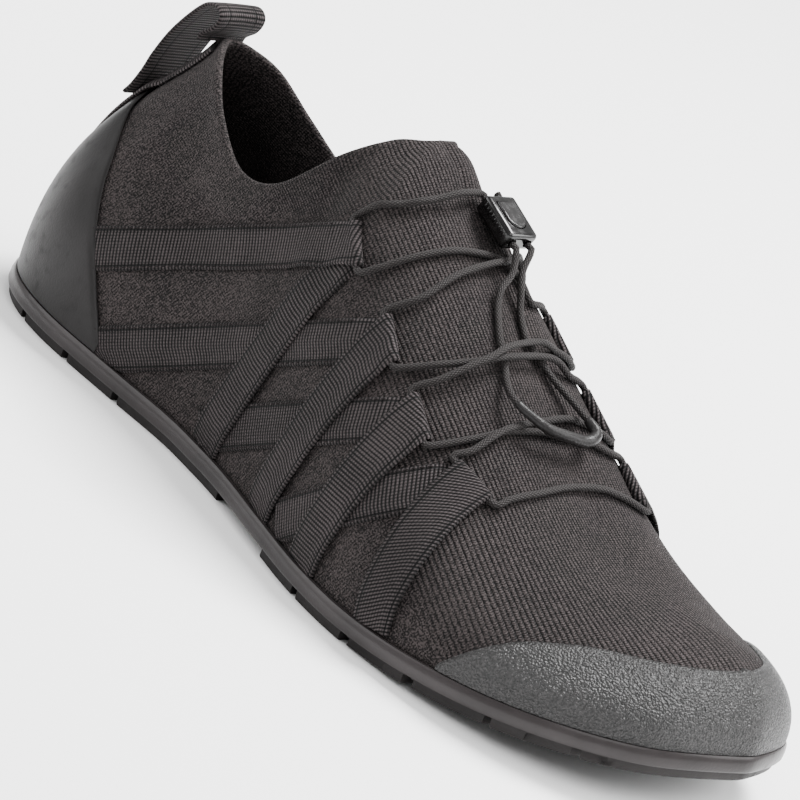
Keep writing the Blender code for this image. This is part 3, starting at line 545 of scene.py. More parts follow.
def settle(c, v, miss):
    """Move (c, v) until miss(point) is zero in its two numbers."""
    for _ in range(8):
        along, up = last_slopes(c, v)
        here = last_point(c, v)
        error = miss(here)
        if np.linalg.norm(error) < 1e-7:
            break
        slope = np.column_stack([miss(here + along) - error, miss(here + up) - error])
        step = np.linalg.lstsq(slope, -error, rcond=None)[0]
        c += float(np.clip(step[0], -0.6, 0.6))
        v = float(np.clip(v + np.clip(step[1], -0.2, 0.2), 0.0, 1.0))
    return c, v


def seen_from_side(x, z, start):
    """Place on the last at x and z, near the place start."""
    return settle(*start, lambda p: np.array([p[0] - x, p[2] - z]))


def seen_from_above(x, y):
    """Place on the last at x and y, on the side that y is on."""
    crest = np.interp(
        x / LENGTH,
        [s.top_along for s in SECTIONS[FRONT_ROW:]],
        [s.crest for s in SECTIONS[FRONT_ROW:]],
    )
    row = np.interp(x / LENGTH, [s.top_along for s in SECTIONS], range(LAST_ROW + 1))
    start = row if y < crest * BALL_WIDTH else LOOP - row
    return settle(start, 0.85, lambda p: np.array([p[0] - x, p[1] - y]))


def shift(c, v, move):
    """The place on the last that lies the small vector move away."""
    goal = last_point(c, v) + move
    return settle(c, v, lambda p: p - goal)


class Signal:
    """One output of a node. Sums and products of signals add their own Math nodes."""

    def __init__(self, finish, socket):
        self.finish = finish
        self.socket = socket

    def math(self, operation, *terms):
        made = self.finish.node("ShaderNodeMath", {"operation": operation}, dict(enumerate(terms)))
        return made["Value"]

    def __add__(self, other):
        return self.math("ADD", self, other)

    __radd__ = __add__

    def __sub__(self, other):
        return self.math("SUBTRACT", self, other)

    def __rsub__(self, other):
        return self.math("SUBTRACT", other, self)

    def __mul__(self, other):
        return self.math("MULTIPLY", self, other)

    __rmul__ = __mul__

    def __truediv__(self, other):
        return self.math("DIVIDE", self, other)

    def __abs__(self):
        return self.math("ABSOLUTE", self)

    def sine(self):
        return self.math("SINE", self)

    def fraction(self):
        return self.math("FRACT", self)

    def power(self, exponent):
        return self.math("POWER", self, exponent)

    def between(self, low, high):
        """0 below low, 1 above high, and smooth between them."""
        made = self.finish.node(
            "ShaderNodeMapRange",
            {"interpolation_type": "SMOOTHSTEP"},
            {"Value": self, "From Min": low, "From Max": high},
        )
        return made["Result"]


class Finish:
    """A material and the nodes that give it its look."""

    def __init__(self, name, specular, coat=0.0, sheen=0.0):
        self.made = bpy.data.materials.new(name)
        self.made.use_nodes = True
        self.tree = self.made.node_tree
        self.shader = self.tree.nodes["Principled BSDF"].inputs
        self.shader["Specular IOR Level"].default_value = specular
        self.shader["Coat Weight"].default_value = coat
        self.shader["Sheen Weight"].default_value = sheen

    def feed(self, socket, value):
        if isinstance(value, Signal):
            self.tree.links.new(value.socket, socket)
        else:
            socket.default_value = value

    def node(self, kind, settings=None, values=None):
        """The outputs, by name, of a new node with these settings and values of its sockets."""
        made = self.tree.nodes.new(kind)
        for key, setting in (settings or {}).items():
            setattr(made, key, setting)
        for key, value in (values or {}).items():
            self.feed(made.inputs[key], value)
        return {output.name: Signal(self, output) for output in made.outputs if output.enabled}

    def place(self):
        return self.node("ShaderNodeTexCoord")["Object"]

    def split(self, vector):
        parts = self.node("ShaderNodeSeparateXYZ", values={"Vector": vector})
        return parts["X"], parts["Y"], parts["Z"]

    def charted(self):
        """The piece's own chart, and its two numbers in metres along and across the piece."""
        chart = self.node("ShaderNodeUVMap", {"uv_map": "chart"})["UV"]
        return chart, *self.split(chart)[:2]

    def noise(self, place, scale, detail=2.0):
        values = {"Vector": place, "Scale": scale, "Detail": detail}
        return self.node("ShaderNodeTexNoise", values=values)["Fac"]

    def painted(self, colour, shades, share, roughness, relief=None, depth=0.0):
        """The material, in shades of its colour from dark to light as share goes from 0 to 1."""
        dark, light = [(*[channel * shade for channel in colour], 1.0) for shade in shades]
        mixed = self.node("ShaderNodeMix", {"data_type": "RGBA"}, {0: share, 6: dark, 7: light})
        self.feed(self.shader["Base Color"], mixed["Result"])
        self.feed(self.shader["Roughness"], roughness)
        if relief is not None:
            values = {"Height": relief, "Distance": depth, "Strength": 1.0}
            self.feed(self.shader["Normal"], self.node("ShaderNodeBump", values=values)["Normal"])
        return self.made


def knit_finish(name, colour, row):
    """Ribs of small V stitches over the foot, and plain fine knit where nothing is ribbed."""
    finish = Finish(name, 0.12, sheen=0.015)
    along, across = finish.charted()[1:]
    place = finish.place()
    from_middle = abs((across / row).fraction() - 0.5)
    stitch = abs(((along / (row * 0.62) + from_middle * 0.9) * pi).sine())
    rope = 1 - (from_middle * 2.0).power(1.7)
    rib = rope * (0.42 + stitch * 0.58)
    x, _, z = finish.split(place)
    course = abs(((z + x * 0.25) * (pi / 0.00078)).sine())
    wale = abs(((x - z * 0.45) * (pi / 0.00094)).sine())
    fine = course * 0.22 + wale * 0.28 + 0.18
    shown = finish.node("ShaderNodeAttribute", {"attribute_name": "ribbed"})["Fac"]
    relief = rib * shown + fine * (1 - shown) + finish.noise(place, 1900.0) * 0.5
    speckle = finish.noise(place, 2100.0, 0.0).between(0.36, 0.68)
    patches = finish.noise(place, 38.0).between(0.35, 0.7)
    # The colour follows the relief: painted shade darkens the grooves between stitches, ribs and
    # courses, and speckle and patches vary the tone at random.
    share = (relief * 0.75 + speckle * 0.5 + patches * 0.12).between(0.42, 1.45)
    return finish.painted(colour, (0.04, 4.4), share, 0.95 - stitch * 0.2, relief, row * 0.42)


def webbing_finish(name, colour, rib):
    """Ribs that run across the webbing, of short floats of yarn."""
    finish = Finish(name, 0.14, sheen=0.01)
    chart, along, across = finish.charted()
    from_rib = abs((along / rib).fraction() - 0.5) * 2.0
    ridge = 1 - from_rib.power(1.6)
    float_end = abs((across / (rib * 0.8) * pi).sine())
    yarn = finish.noise(chart, 1300.0)
    seam = abs(abs(across) - WEB_WIDTH * SEAM_PLACE).between(0.0001, 0.00045)
    relief = ridge * (0.5 + float_end * 0.5) * (0.35 + seam * 0.65) + yarn * 0.25
    patches = finish.noise(finish.place(), 60.0).between(0.3, 0.75)
    # The colour follows the relief: painted shade darkens the gaps between the ribs and the sunk
    # seam lines; patches and yarn noise vary the tone at random.
    share = (relief * 0.85 + patches * 0.14 + yarn * 0.25).between(0.48, 1.12)
    return finish.painted(colour, (0.01, 5.6), share, 0.92 - ridge * 0.28, relief, rib * 0.5)


def braid_finish(name, colour):
    """A round braid: two sets of strands that wind round the cord both ways."""
    finish = Finish(name, 0.2, sheen=0.01)
    chart, along, around = finish.charted()
    turns = around * (8 / (pi * CORD_DIAMETER)) * pi
    rise = along * (pi / 0.00125)
    weave = abs((turns + rise).sine()) * abs((turns - rise).sine())
    relief = weave + finish.noise(chart, 1600.0) * 0.25
    # Painted shade: the colour follows the relief, dark in the gaps between the braid's strands.
    share = relief.between(0.05, 1.0)
    return finish.painted(colour, (0.2, 2.2), share, 0.75 - weave * 0.22, relief, 0.00022)


def grained_finish(name, colour):
    """Rubber with a sand grain."""
    finish = Finish(name, 0.4)
    place = finish.place()
    grain = finish.noise(place, 1900.0, 1.0)
    gap = finish.node("ShaderNodeTexVoronoi", values={"Vector": place, "Scale": 1350.0})["Distance"]
    relief = grain.between(0.3, 0.7) * 0.5 - gap
    wear = finish.noise(place, 45.0).between(0.35, 0.7)
    # Painted shade: the colour follows the relief, dark in the pits between the grains; wear varies
    # the tone at random.
    shade_and_wear = relief.between(-0.55, 0.15) * 0.9 + wear * 0.1
    return finish.painted(colour, (0.02, 1.3), shade_and_wear, 0.46 - shade_and_wear * 0.12, relief, 0.00036)


def moulded_finish(name, colour, roughness, coat=0.0, grain=0.00006):
    """Smooth moulded rubber with faint clouds, rubbed places and a fine skin."""
    finish = Finish(name, 0.14, coat=coat)
    place = finish.place()
    clouds = finish.noise(place, 55.0, 3.0)
    rubbed = finish.noise(place, 260.0, 4.0).between(0.52, 0.75)
    skin = finish.noise(place, 1400.0) + clouds * 1.5
    rough = roughness - clouds * 0.08 + rubbed * 0.12
    return finish.painted(colour, (0.84, 1.18), clouds.between(0.3, 0.7), rough, skin, grain)


def lining_finish(name, colour):
    """Brushed cloth on foam."""
    finish = Finish(name, 0.12, sheen=0.01)
    nap = finish.noise(finish.place(), 900.0, 3.0)
    return finish.painted(colour, (0.5, 1.4), nap.between(0.3, 0.75), 0.95, nap, 0.0003)


def gloss_finish(name, colour, roughness):
    """Glossy plastic with fine scratches from wear."""
    finish = Finish(name, 0.35, coat=0.15)
    haze = finish.noise(finish.place(), 420.0, 4.0)
    rough = roughness + haze.between(0.4, 0.75) * 0.12
    return finish.painted(colour, (0.85, 1.3), haze.between(0.35, 0.7), rough, haze, 0.00003)


def floor_finish(name):
    """A matt, very pale studio floor."""
    finish = Finish(name, 0.1)
    return finish.painted((1.0, 1.0, 1.0), (0.93, 0.95), finish.noise(finish.place(), 3.0), 0.9)


def put(name, data):
    """An object with this data, in the scene."""
    item = bpy.data.objects.new(name, data)
    bpy.context.scene.collection.objects.link(item)
    return item


def add_piece(name, points, faces, look, chart=None, lookup=None, smooth=50, ribbed=None):
    """A mesh object from points and faces, with doubles merged and faces out.

    chart holds each point's place on the piece's own map, in metres; lookup gives faces their
    look by number where look is a list; ribbed says how far the knit's ribs show at each point.
    """
    mesh = bpy.data.meshes.new(name)
    mesh.from_pydata(moved(points).tolist(), [], faces)
    for finish in look if isinstance(look, list) else [look]:
        mesh.materials.append(finish)
    if lookup is not None:
        mesh.polygons.foreach_set("material_index", lookup)
    if chart is not None:
        corners = np.empty(len(mesh.loops), dtype=np.int32)
        mesh.loops.foreach_get("vertex_index", corners)
        layer = mesh.uv_layers.new(name="chart")
        layer.uv.foreach_set("vector", np.asarray(chart, float)[corners].ravel())
    if ribbed is not None:
        mesh.attributes.new("ribbed", "FLOAT", "POINT").data.foreach_set("value", ribbed)
    work = bmesh.new()
    work.from_mesh(mesh)
    bmesh.ops.remove_doubles(work, verts=work.verts, dist=4e-6)
    bmesh.ops.dissolve_degenerate(work, edges=work.edges, dist=1e-6)
    bmesh.ops.recalc_face_normals(work, faces=work.faces)
    work.to_mesh(mesh)
    work.free()
    mesh.shade_smooth()
    mesh.set_sharp_from_angle(angle=radians(smooth))
    return put(name, mesh)


def rings_to_faces(rings, count, closed=True, caps=True):
    """Faces of a tube of rings, each of count points."""
    faces = []
    for r in range(rings - 1):
        for i in range(count if closed else count - 1):
            j = (i + 1) % count
            a, b = r * count, (r + 1) * count
            faces.append([a + i, a + j, b + j, b + i])
    if caps:
        last = (rings - 1) * count
        faces += [list(range(count))[::-1], [last + i for i in range(count)]]
    return faces


def layered(grid, thickness):
    """A closed sheet with round edges about a mid surface: its points, faces and chart.

    The grid has rings along the sheet and columns across it; thickness is one number or one for
    each of the grid's points.
    """
    along, across = np.gradient(grid, axis=0), np.gradient(grid, axis=1)
    normal, across = units(np.cross(across, along)), units(across)
    half = np.broadcast_to(np.asarray(thickness, float), grid.shape[:2])[..., None] / 2
    over, under = grid + normal * half, grid - normal * half
    right = grid[:, -1:] + across[:, -1:] * half[:, -1:] * 0.8
    left = grid[:, :1] - across[:, :1] * half[:, :1] * 0.8
    rings = np.concatenate([over, right, under[:, ::-1], left], axis=1)
    run = np.cumsum(np.linalg.norm(np.diff(grid, axis=0, prepend=grid[:1]), axis=2), axis=0)
    width = np.cumsum(np.linalg.norm(np.diff(grid, axis=1, prepend=grid[:, :1]), axis=2), axis=1)
    width -= width[:, [grid.shape[1] // 2]]
    chart = np.stack([run, width], axis=2)
    chart = np.concatenate([chart, chart[:, -1:], chart[:, ::-1], chart[:, :1]], axis=1)
    faces = rings_to_faces(*rings.shape[:2])
    return rings.reshape(-1, 3), faces, chart.reshape(-1, 2)


def joined(name, parts, look, smooth=50):
    """One piece from several lots of points, faces and charts."""
    points, faces, chart = [], [], []
    for part_points, part_faces, part_chart in parts:
        start = len(points)
        points.extend(part_points)
        chart.extend(part_chart)
        faces += [[start + i for i in face] for face in part_faces]
    return add_piece(name, points, faces, look, chart, smooth=smooth)


def tube(points, radii, segments=14, rounding=3):
    """A round cord with domed ends along points: its points, faces and chart."""
    points = np.asarray(points, float)
    radii = np.broadcast_to(np.asarray(radii, float), len(points)).copy()
    runs = np.array([unit(run) for run in np.gradient(points, axis=0)])
    turns = np.arange(1, rounding + 1) / rounding * pi / 2 * DOME_SHARE
    for end, way in ((0, -1), (-1, 1)):
        base, run, radius = points[end], runs[end], radii[end]
        extra = [base + run * way * radius * sin(t) for t in turns]
        sizes = [radius * cos(t) for t in turns]
        if end == 0:
            points = np.concatenate([extra[::-1], points])
            radii = np.concatenate([sizes[::-1], radii])
            runs = np.concatenate([[run] * rounding, runs])
        else:
            points = np.concatenate([points, extra])
            radii = np.concatenate([radii, sizes])
            runs = np.concatenate([runs, [run] * rounding])
    side = unit(np.cross(runs[0], [0.0, 0.0, 1.0]))
    angles = np.linspace(0.0, 2 * pi, segments + 1)
    length = runs_to(points)
    rings, chart = [], []
    for point, radius, run, far in zip(points, radii, runs, length):
        side = unit(side - run * (side @ run))
        up = np.cross(run, side)
        for angle in angles:
            rings.append(point + (side * cos(angle) + up * sin(angle)) * radius)
            chart.append((far, angle / 2 * CORD_DIAMETER))
    faces = rings_to_faces(len(points), segments + 1, closed=False, caps=False)
    last = (len(points) - 1) * (segments + 1)
    faces += [list(range(segments))[::-1], [last + i for i in range(segments)]]
    return rings, faces, chart


def even_line(dense, spacing, cut_start=0.0, cut_end=0.0):
    """Evenly spaced points along a dense line, shortened at its ends."""
    dense = np.array(dense)
    run = runs_to(dense)
    steps = max(2, round(float(run[-1]) / spacing))
    places = np.linspace(cut_start, run[-1] - cut_end, steps + 1)
    return np.column_stack([np.interp(places, run, dense[:, axis]) for axis in range(3)])


def rested(point):
    """The point, moved out where a cord there would cut into the knit."""
    place = settle(*seen_from_above(*point[:2]), lambda p: p - point)
    base, normal = last_point(*place), last_normal(*place)
    least = CORD_DIAMETER / 2 + CORD_CLEARANCE / 2
    return point if (point - base) @ normal > least else base + normal * least


def via_point(along, across, level):
    """A point of a cord's middle line."""
    place = seen_from_above(along * LENGTH, across * BALL_WIDTH)
    return off_last(*place, CORD_CLEARANCE + CORD_DIAMETER * (level + 0.5))


def fold_way(band):
    """From the side, the way a band's loop points, between its two legs."""
    loop = np.array([band.loop_along * LENGTH, band.loop_height * COLLAR_HEIGHT])
    rear = np.array([band.rear_along * LENGTH, band.rear_height * COLLAR_HEIGHT])
    foot = np.array([band.foot_along * LENGTH, SIDE_BAND_TOP])
    return loop, unit(unit(loop - rear) + unit(loop - foot))


def loop_row(band):
    """The loop place on the last at a band's fold."""
    row = np.interp(band.loop_along, [s.along for s in SECTIONS], range(LAST_ROW + 1))
    return row if band.side < 0 else LOOP - row


def fold_point(band, far, offset):
    """A point over the band's fold line, far from its middle toward its upper end."""
    loop, way = fold_way(band)
    start = seen_from_side(*loop, (loop_row(band), 0.5))
    x, z = loop + np.array([-way[1], way[0]]) * far
    return off_last(*seen_from_side(x, z, start), offset)


def through_fold(name, end):
    """Where a lace runs inside a band's fold and out of one end of it, from the middle out."""
    band = next(b for b in BANDS if b.name == name)
    inside = WEB_THICKNESS + CORD_DIAMETER / 2 - FOLD_SINK
    out = CORD_CLEARANCE + CORD_DIAMETER / 2
    far = WEB_WIDTH / 2 + LACE_START
    return [
        fold_point(band, 0.0, inside),
        fold_point(band, end * WEB_WIDTH * 0.3, inside),
        fold_point(band, end * far, out),
    ]


def lock_point(forward, across, up):
    """A point in the lock's own frame, which slopes down toward the toes."""
    slope = radians(LOCK_SLOPE)
    x = LOCK_PLACE[0] * LENGTH + forward * cos(slope) + up * sin(slope)
    z = LOCK_PLACE[2] * COLLAR_HEIGHT - forward * sin(slope) + up * cos(slope)
    return np.array([x, LOCK_PLACE[1] * BALL_WIDTH + across, z])


def lock_mouth(end, side):
    """Two points of a cord's middle line outside one of the lock's holes, the nearer one first."""
    across = side * CORD_HOLE_SPACING / 2
    face = LOCK_LENGTH / 2 + 2 * GAP
    return [lock_point(end * (face + far), across, 0.0) for far in (0.0, CORD_DIAMETER)]


def end_routes():
    """The middle lines of the short end, the grip and the long end."""
    short = lock_mouth(1, -1) + [via_point(*via) for via in END_SHORT]
    grip = [via_point(*via) for via in GRIP]
    long = [via_point(*via) for via in END_LONG[::-1]] + lock_mouth(1, 1)[::-1]
    dense = finer(short + grip + long, ROUTE_STEPS)
    first = len(short) * ROUTE_STEPS
    last = first + (len(grip) - 1) * ROUTE_STEPS
    lines = (
        even_line(dense[: first + 1], END_STEP, 0.0, GRIP_GAP),
        even_line(dense[first : last + 1], GRIP_STEP),
        even_line(dense[last:], END_STEP, GRIP_GAP, 0.0),
    )
    return [np.array([rested(point) for point in line]) for line in lines]


def ride(piece, slot, *nodes):
    """Fix a finished piece to the shoe and hide the solids it stands for; slot is not used."""
    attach(piece, "root")
    if nodes:
        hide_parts(*nodes)


def apply_changes(item):
    """Turn an object's modifiers into its mesh."""
    view = bpy.context.evaluated_depsgraph_get()
    done = bpy.data.meshes.new_from_object(item.evaluated_get(view))
    item.modifiers.clear()
    item.data = done


def repeat_group():
    """Geometry nodes that set copies of one small object along lines, and make them real."""
    tree = bpy.data.node_groups.new("Repeat along lines", "GeometryNodeTree")
    for name, way, kind in (
        ("Lines", "INPUT", "Geometry"),
        ("Spacing", "INPUT", "Float"),
        ("Unit", "INPUT", "Object"),
        ("Finish", "INPUT", "Material"),
        ("Repeats", "OUTPUT", "Geometry"),
    ):
        tree.interface.new_socket(name, in_out=way, socket_type="NodeSocket" + kind)
    kinds = {
        "source": "NodeGroupInput",
        "curves": "GeometryNodeMeshToCurve",
        "even": "GeometryNodeResampleCurve",
        "unit": "GeometryNodeObjectInfo",
        "copies": "GeometryNodeInstanceOnPoints",
        "tangent": "GeometryNodeInputTangent",
        "outward": "GeometryNodeInputNamedAttribute",
        "ahead": "FunctionNodeAlignRotationToVector",
        "upright": "FunctionNodeAlignRotationToVector",
        "real": "GeometryNodeRealizeInstances",
        "paint": "GeometryNodeSetMaterial",
        "result": "NodeGroupOutput",
    }
    nodes = {name: tree.nodes.new(kind) for name, kind in kinds.items()}
    nodes["even"].mode = "LENGTH"
    nodes["outward"].data_type = "FLOAT_VECTOR"
    nodes["outward"].inputs["Name"].default_value = "outward"
    nodes["ahead"].axis = "X"
    nodes["upright"].axis = "Z"
    nodes["upright"].pivot_axis = "X"
    for start, output, end, socket in (
        ("source", "Lines", "curves", "Mesh"),
        ("curves", "Curve", "even", "Curve"),
        ("source", "Spacing", "even", "Length"),
        ("even", "Curve", "copies", "Points"),
        ("source", "Unit", "unit", "Object"),
        ("unit", "Geometry", "copies", "Instance"),
        ("tangent", "Tangent", "ahead", "Vector"),
        ("ahead", "Rotation", "upright", "Rotation"),
        ("outward", "Attribute", "upright", "Vector"),
        ("upright", "Rotation", "copies", "Rotation"),
        ("copies", "Instances", "real", "Geometry"),
        ("real", "Geometry", "paint", "Geometry"),
        ("source", "Finish", "paint", "Material"),
        ("paint", "Geometry", "result", "Repeats"),
    ):
        tree.links.new(nodes[start].outputs[output], nodes[end].inputs[socket])
    return tree


def repeated(name, lines, spacing, unit_points, unit_faces, look):
    """A mesh of small units set along lines, each a run of points and of outward ways."""
    points, ways, edges = [], [], []
    for line, outward in lines:
        edges += [(len(points) + i, len(points) + i + 1) for i in range(len(line) - 1)]
        points.extend(line)
        ways.extend(outward)
    mesh = bpy.data.meshes.new(name)
    mesh.from_pydata(moved(points).tolist(), edges, [])
    field = mesh.attributes.new("outward", "FLOAT_VECTOR", "POINT")
    field.data.foreach_set("vector", np.asarray(ways, float).ravel())
    carrier = put(name, mesh)
    pattern = bpy.data.meshes.new("unit")
    pattern.from_pydata(unit_points, [], unit_faces)
    pattern.shade_smooth()
    single = put("unit", pattern)
    change = carrier.modifiers.new("repeat", "NODES")
    change.node_group = repeat_group()
    sockets = {item.name: item.identifier for item in change.node_group.interface.items_tree}
    for key, value in (("Spacing", spacing), ("Unit", single), ("Finish", look)):
        change[sockets[key]] = value
    apply_changes(carrier)
    bpy.data.objects.remove(single, do_unlink=True)
    return carrier


def bead(length, width, height):
    """A small stitch: an arched bead along x that dips into the cloth at both ends."""
    rings = ((-0.5, 0.35, -0.6), (-0.25, 0.9, 0.2), (0.25, 0.9, 0.2), (0.5, 0.35, -0.6))
    points, count = [], 6
    for share, size, lift in rings:
        for i in range(count):
            angle = 2 * pi * i / count
            y, z = cos(angle) * width / 2 * size, sin(angle) * height / 2 * size
            points.append((share * length, y, z + lift * height / 2))
    return points, [face[::-1] for face in rings_to_faces(len(rings), count)]


# The finished materials by name, made once the stage is set
LOOKS = {}


def make_looks(scene):
    tints, sizes = scene.shoe_colours, scene.shoe_textures
    LOOKS.update(
        knit=knit_finish("knit_yarn", tints.knit, sizes.knit_row),
        webbing=webbing_finish("ribbed_webbing", tints.webbing, sizes.web_rib),
        thread=lining_finish("sewing_thread", [c * 1.6 for c in tints.webbing]),
        braid=braid_finish("braided_elastic", tints.cord),
        grain=grained_finish("grained_rubber", tints.guards),
        counter=moulded_finish("satin_rubber", [c * 0.6 for c in tints.guards], 0.5),
        side_band=moulded_finish("side_band_rubber", tints.side_band, 0.34, 0.06),
        lugs=moulded_finish("tread_rubber", tints.lugs, 0.6),
        lining=lining_finish("insole_cloth", tints.lugs),
        lock=gloss_finish("lock_gloss", tints.plastic, 0.16),
        button=gloss_finish("button_gloss", [c * 1.5 for c in tints.plastic], 0.22),
        sleeve=moulded_finish("grip_satin", [c * 3.0 for c in tints.plastic], 0.42, 0.05, 0.0002),
    )


class SHOE_OT_stage(bpy.types.Operator):
    """Set the floor, the lights and the camera"""

    bl_idname = "shoe.stage"
    bl_label = "Stage"

    def execute(self, context):
        ground = bpy.data.meshes.new("studio_floor")
        half = FLOOR_WIDTH / 2
        corners = [(-half, -half, 0.0), (half, -half, 0.0), (half, half, 0.0), (-half, half, 0.0)]
        ground.from_pydata(corners, [], [(0, 1, 2, 3)])
        ground.materials.append(floor_finish("pale_floor"))
        put("studio_floor", ground)
        for light in LIGHTS:
            lamp = bpy.data.lights.new(light.name, "AREA")
            lamp.size = light.size
            lamp.energy = light.power
            item = put(light.name, lamp)
            item.location = light.place
            aim = Vector(LIGHT_AIM) - Vector(light.place)
            item.rotation_euler = aim.to_track_quat("-Z", "Y").to_euler()
        world = bpy.data.worlds.new("studio")
        world.use_nodes = True
        sky = world.node_tree.nodes["Background"].inputs
        sky["Color"].default_value = (1.0, 1.0, 1.0, 1.0)
        sky["Strength"].default_value = SKY_STRENGTH
        context.scene.world = world
        self.camera(context.scene)
        make_looks(context.scene)
        return {"FINISHED"}

    @staticmethod
    def camera(scene):
        azimuth, elevation, roll = [radians(angle) for angle in CAMERA_ANGLES]
        level = cos(elevation)
        ahead = Vector((-sin(azimuth) * level, cos(azimuth) * level, -sin(elevation)))
        right = Vector((cos(azimuth), sin(azimuth), 0.0))
        up = right.cross(ahead)
        across = right * cos(roll) + up * sin(roll)
        upward = up * cos(roll) - right * sin(roll)
        lens = bpy.data.cameras.new("camera")
        lens.sensor_width = 36.0
        lens.lens = CAMERA_LENS
        lens.shift_x, lens.shift_y = CAMERA_SHIFT
        lens.clip_start = 0.05
        scene.camera = put("camera", lens)
        turn = Matrix((across, upward, -ahead)).transposed().to_4x4()
        place = Matrix.Translation(Vector(CAMERA_AIM) - ahead * CAMERA_DISTANCE)
        scene.camera.matrix_world = place @ turn


class SHOE_OT_cord_ends(bpy.types.Operator):
    """Lay the two free ends of the lace and the grip that joins them"""

    bl_idname = "shoe.cord_ends"
    bl_label = "Cord ends"

    def execute(self, context):
        short, middle, long = end_routes()
        shares = np.linspace(0.0, 1.0, len(middle))
        size = np.interp(shares, [0.0, 0.25, 0.6, 0.93, 1.0], [0.62, 0.80, 1.0, 0.92, 0.78])
        points, faces, _ = tube(middle, GRIP_DIAMETER / 2 * size, 20, 5)
        grip = add_piece("grip_sleeve", points, faces, LOOKS["sleeve"])
        ride(grip, "grip_plastic", "cord_end_grip")
        for node, line in (("cord_end_short", short), ("cord_end_long", long[::-1])):
            points, faces, chart = tube(line, CORD_DIAMETER / 2, CORD_SIDES)
            piece = add_piece(node + "_braid", points, faces, LOOKS["braid"], chart)
            ride(piece, "cord", node)
        return {"FINISHED"}


class SHOE_OT_laces(bpy.types.Operator):
    """Run the elastic lace through the folds of the bands and into the lock"""

    bl_idname = "shoe.laces"
    bl_label = "Laces"

    def execute(self, context):
        for name, strands in LACES.items():
            parts = []
            for strand in strands:
                points = through_fold(*strand.start)
                points += [via_point(*via) for via in strand.way]
                points += through_fold(*strand.end)[::-1]
                parts.append(self.strand(points))
            ride(joined(name + "_braid", parts, LOOKS["braid"]), "cord", name)
        for name, band, side, way in LEADS:
            points = through_fold(band, 1) + [via_point(*via) for via in way]
            points += lock_mouth(-1, side)[::-1]
            points.append(lock_point(-LOCK_LENGTH / 2 + 0.002, side * CORD_HOLE_SPACING / 2, 0.0))
            piece = joined(name + "_braid", [self.strand(points)], LOOKS["braid"])
            ride(piece, "cord", name)
        return {"FINISHED"}

    @staticmethod
    def strand(points):
        line = even_line(finer(points, PATH_STEPS), LACE_STEP)
        return tube([rested(point) for point in line], CORD_DIAMETER / 2, CORD_SIDES)


class SHOE_OT_lock(bpy.types.Operator):
    """Make the cord lock with its sunk button"""

    bl_idname = "shoe.lock"
    bl_label = "Cord lock"

    def execute(self, context):
        work = bmesh.new()
        bmesh.ops.create_cube(work, size=1.0)
        bmesh.ops.scale(work, vec=(LOCK_LENGTH, LOCK_WIDTH, LOCK_HEIGHT), verts=work.verts)
        bmesh.ops.bevel(
            work, geom=work.edges[:], offset=LOCK_EDGE, segments=5, profile=0.5, affect="EDGES"
        )
        bmesh.ops.transform(work, matrix=self.matrix(), verts=work.verts)
        mesh = bpy.data.meshes.new("lock_body")
        work.to_mesh(mesh)
        work.free()
        mesh.materials.append(LOOKS["lock"])
        body = put("lock_body", mesh)
        top = LOCK_HEIGHT / 2
        low = top - BUTTON_SINK
        cut_away(body, self.slab("recess", GAP, low - GAP, top + 0.001, "lock"))
        for end in (-1, 1):
            for side in (-1, 1):
                line = [
                    lock_point(end * (LOCK_LENGTH / 2 + far), side * CORD_HOLE_SPACING / 2, 0.0)
                    for far in (-0.003, 0.001)
                ]
                points, faces, _ = tube(line, CORD_DIAMETER / 2 + CORD_CLEARANCE, 20, 1)
                cut_away(body, add_piece("hole", points, faces, LOOKS["lock"]))
        ride(body, "lock_plastic", "lock_housing")
        button = self.slab("lock_push_button", 0.0, low, low + BUTTON_HEIGHT, "button")
        edge = button.modifiers.new("edge", "BEVEL")
        edge.width = BUTTON_EDGE
        edge.segments = 3
        edge.limit_method = "ANGLE"
        apply_changes(button)
        ride(button, "button_plastic", "lock_button")
        self.ribs()
        return {"FINISHED"}
    @staticmethod
    def matrix():
        place = Matrix.Translation(Vector(moved(lock_point(0.0, 0.0, 0.0))))
        return place @ Matrix.Rotation(radians(LOCK_SLOPE), 4, "Y")

    @staticmethod
    def slab(name, extra, low, high, look):
        """A slab with a round front, in the plan of the button and extra wider all round."""
        half = BUTTON_WIDTH / 2 + extra
        back = -BUTTON_LENGTH / 2 - extra
        middle = BUTTON_LENGTH / 2 - BUTTON_WIDTH / 2
        outline = [(back, -half), (back, half)]
        for angle in np.linspace(pi / 2, -pi / 2, 17):
            outline.append((middle + half * cos(angle), half * sin(angle)))
        points = [lock_point(x, y, up) for up in (low, high) for x, y in outline]
        return add_piece(name, points, rings_to_faces(2, len(outline)), LOOKS[look])

    @staticmethod
    def ribs():
        """Small upright ribs along both sides, for the fingers."""
        lines = []
        reach = (LOCK_LENGTH - 0.0044) / 2
        for side in (-1, 1):
            across = side * (LOCK_WIDTH / 2 - 0.0001)
            ends = [lock_point(x, across, 0.0008) for x in np.linspace(-reach, reach, 8)]
            lines.append((ends, [(0.0, float(side), 0.0)] * len(ends)))
        ribs = repeated(
            "lock_side_ribs", lines, FINGER_RIB_SPACING, *bead(*FINGER_RIB), LOOKS["lock"]
        )
        ride(ribs, "lock_plastic")


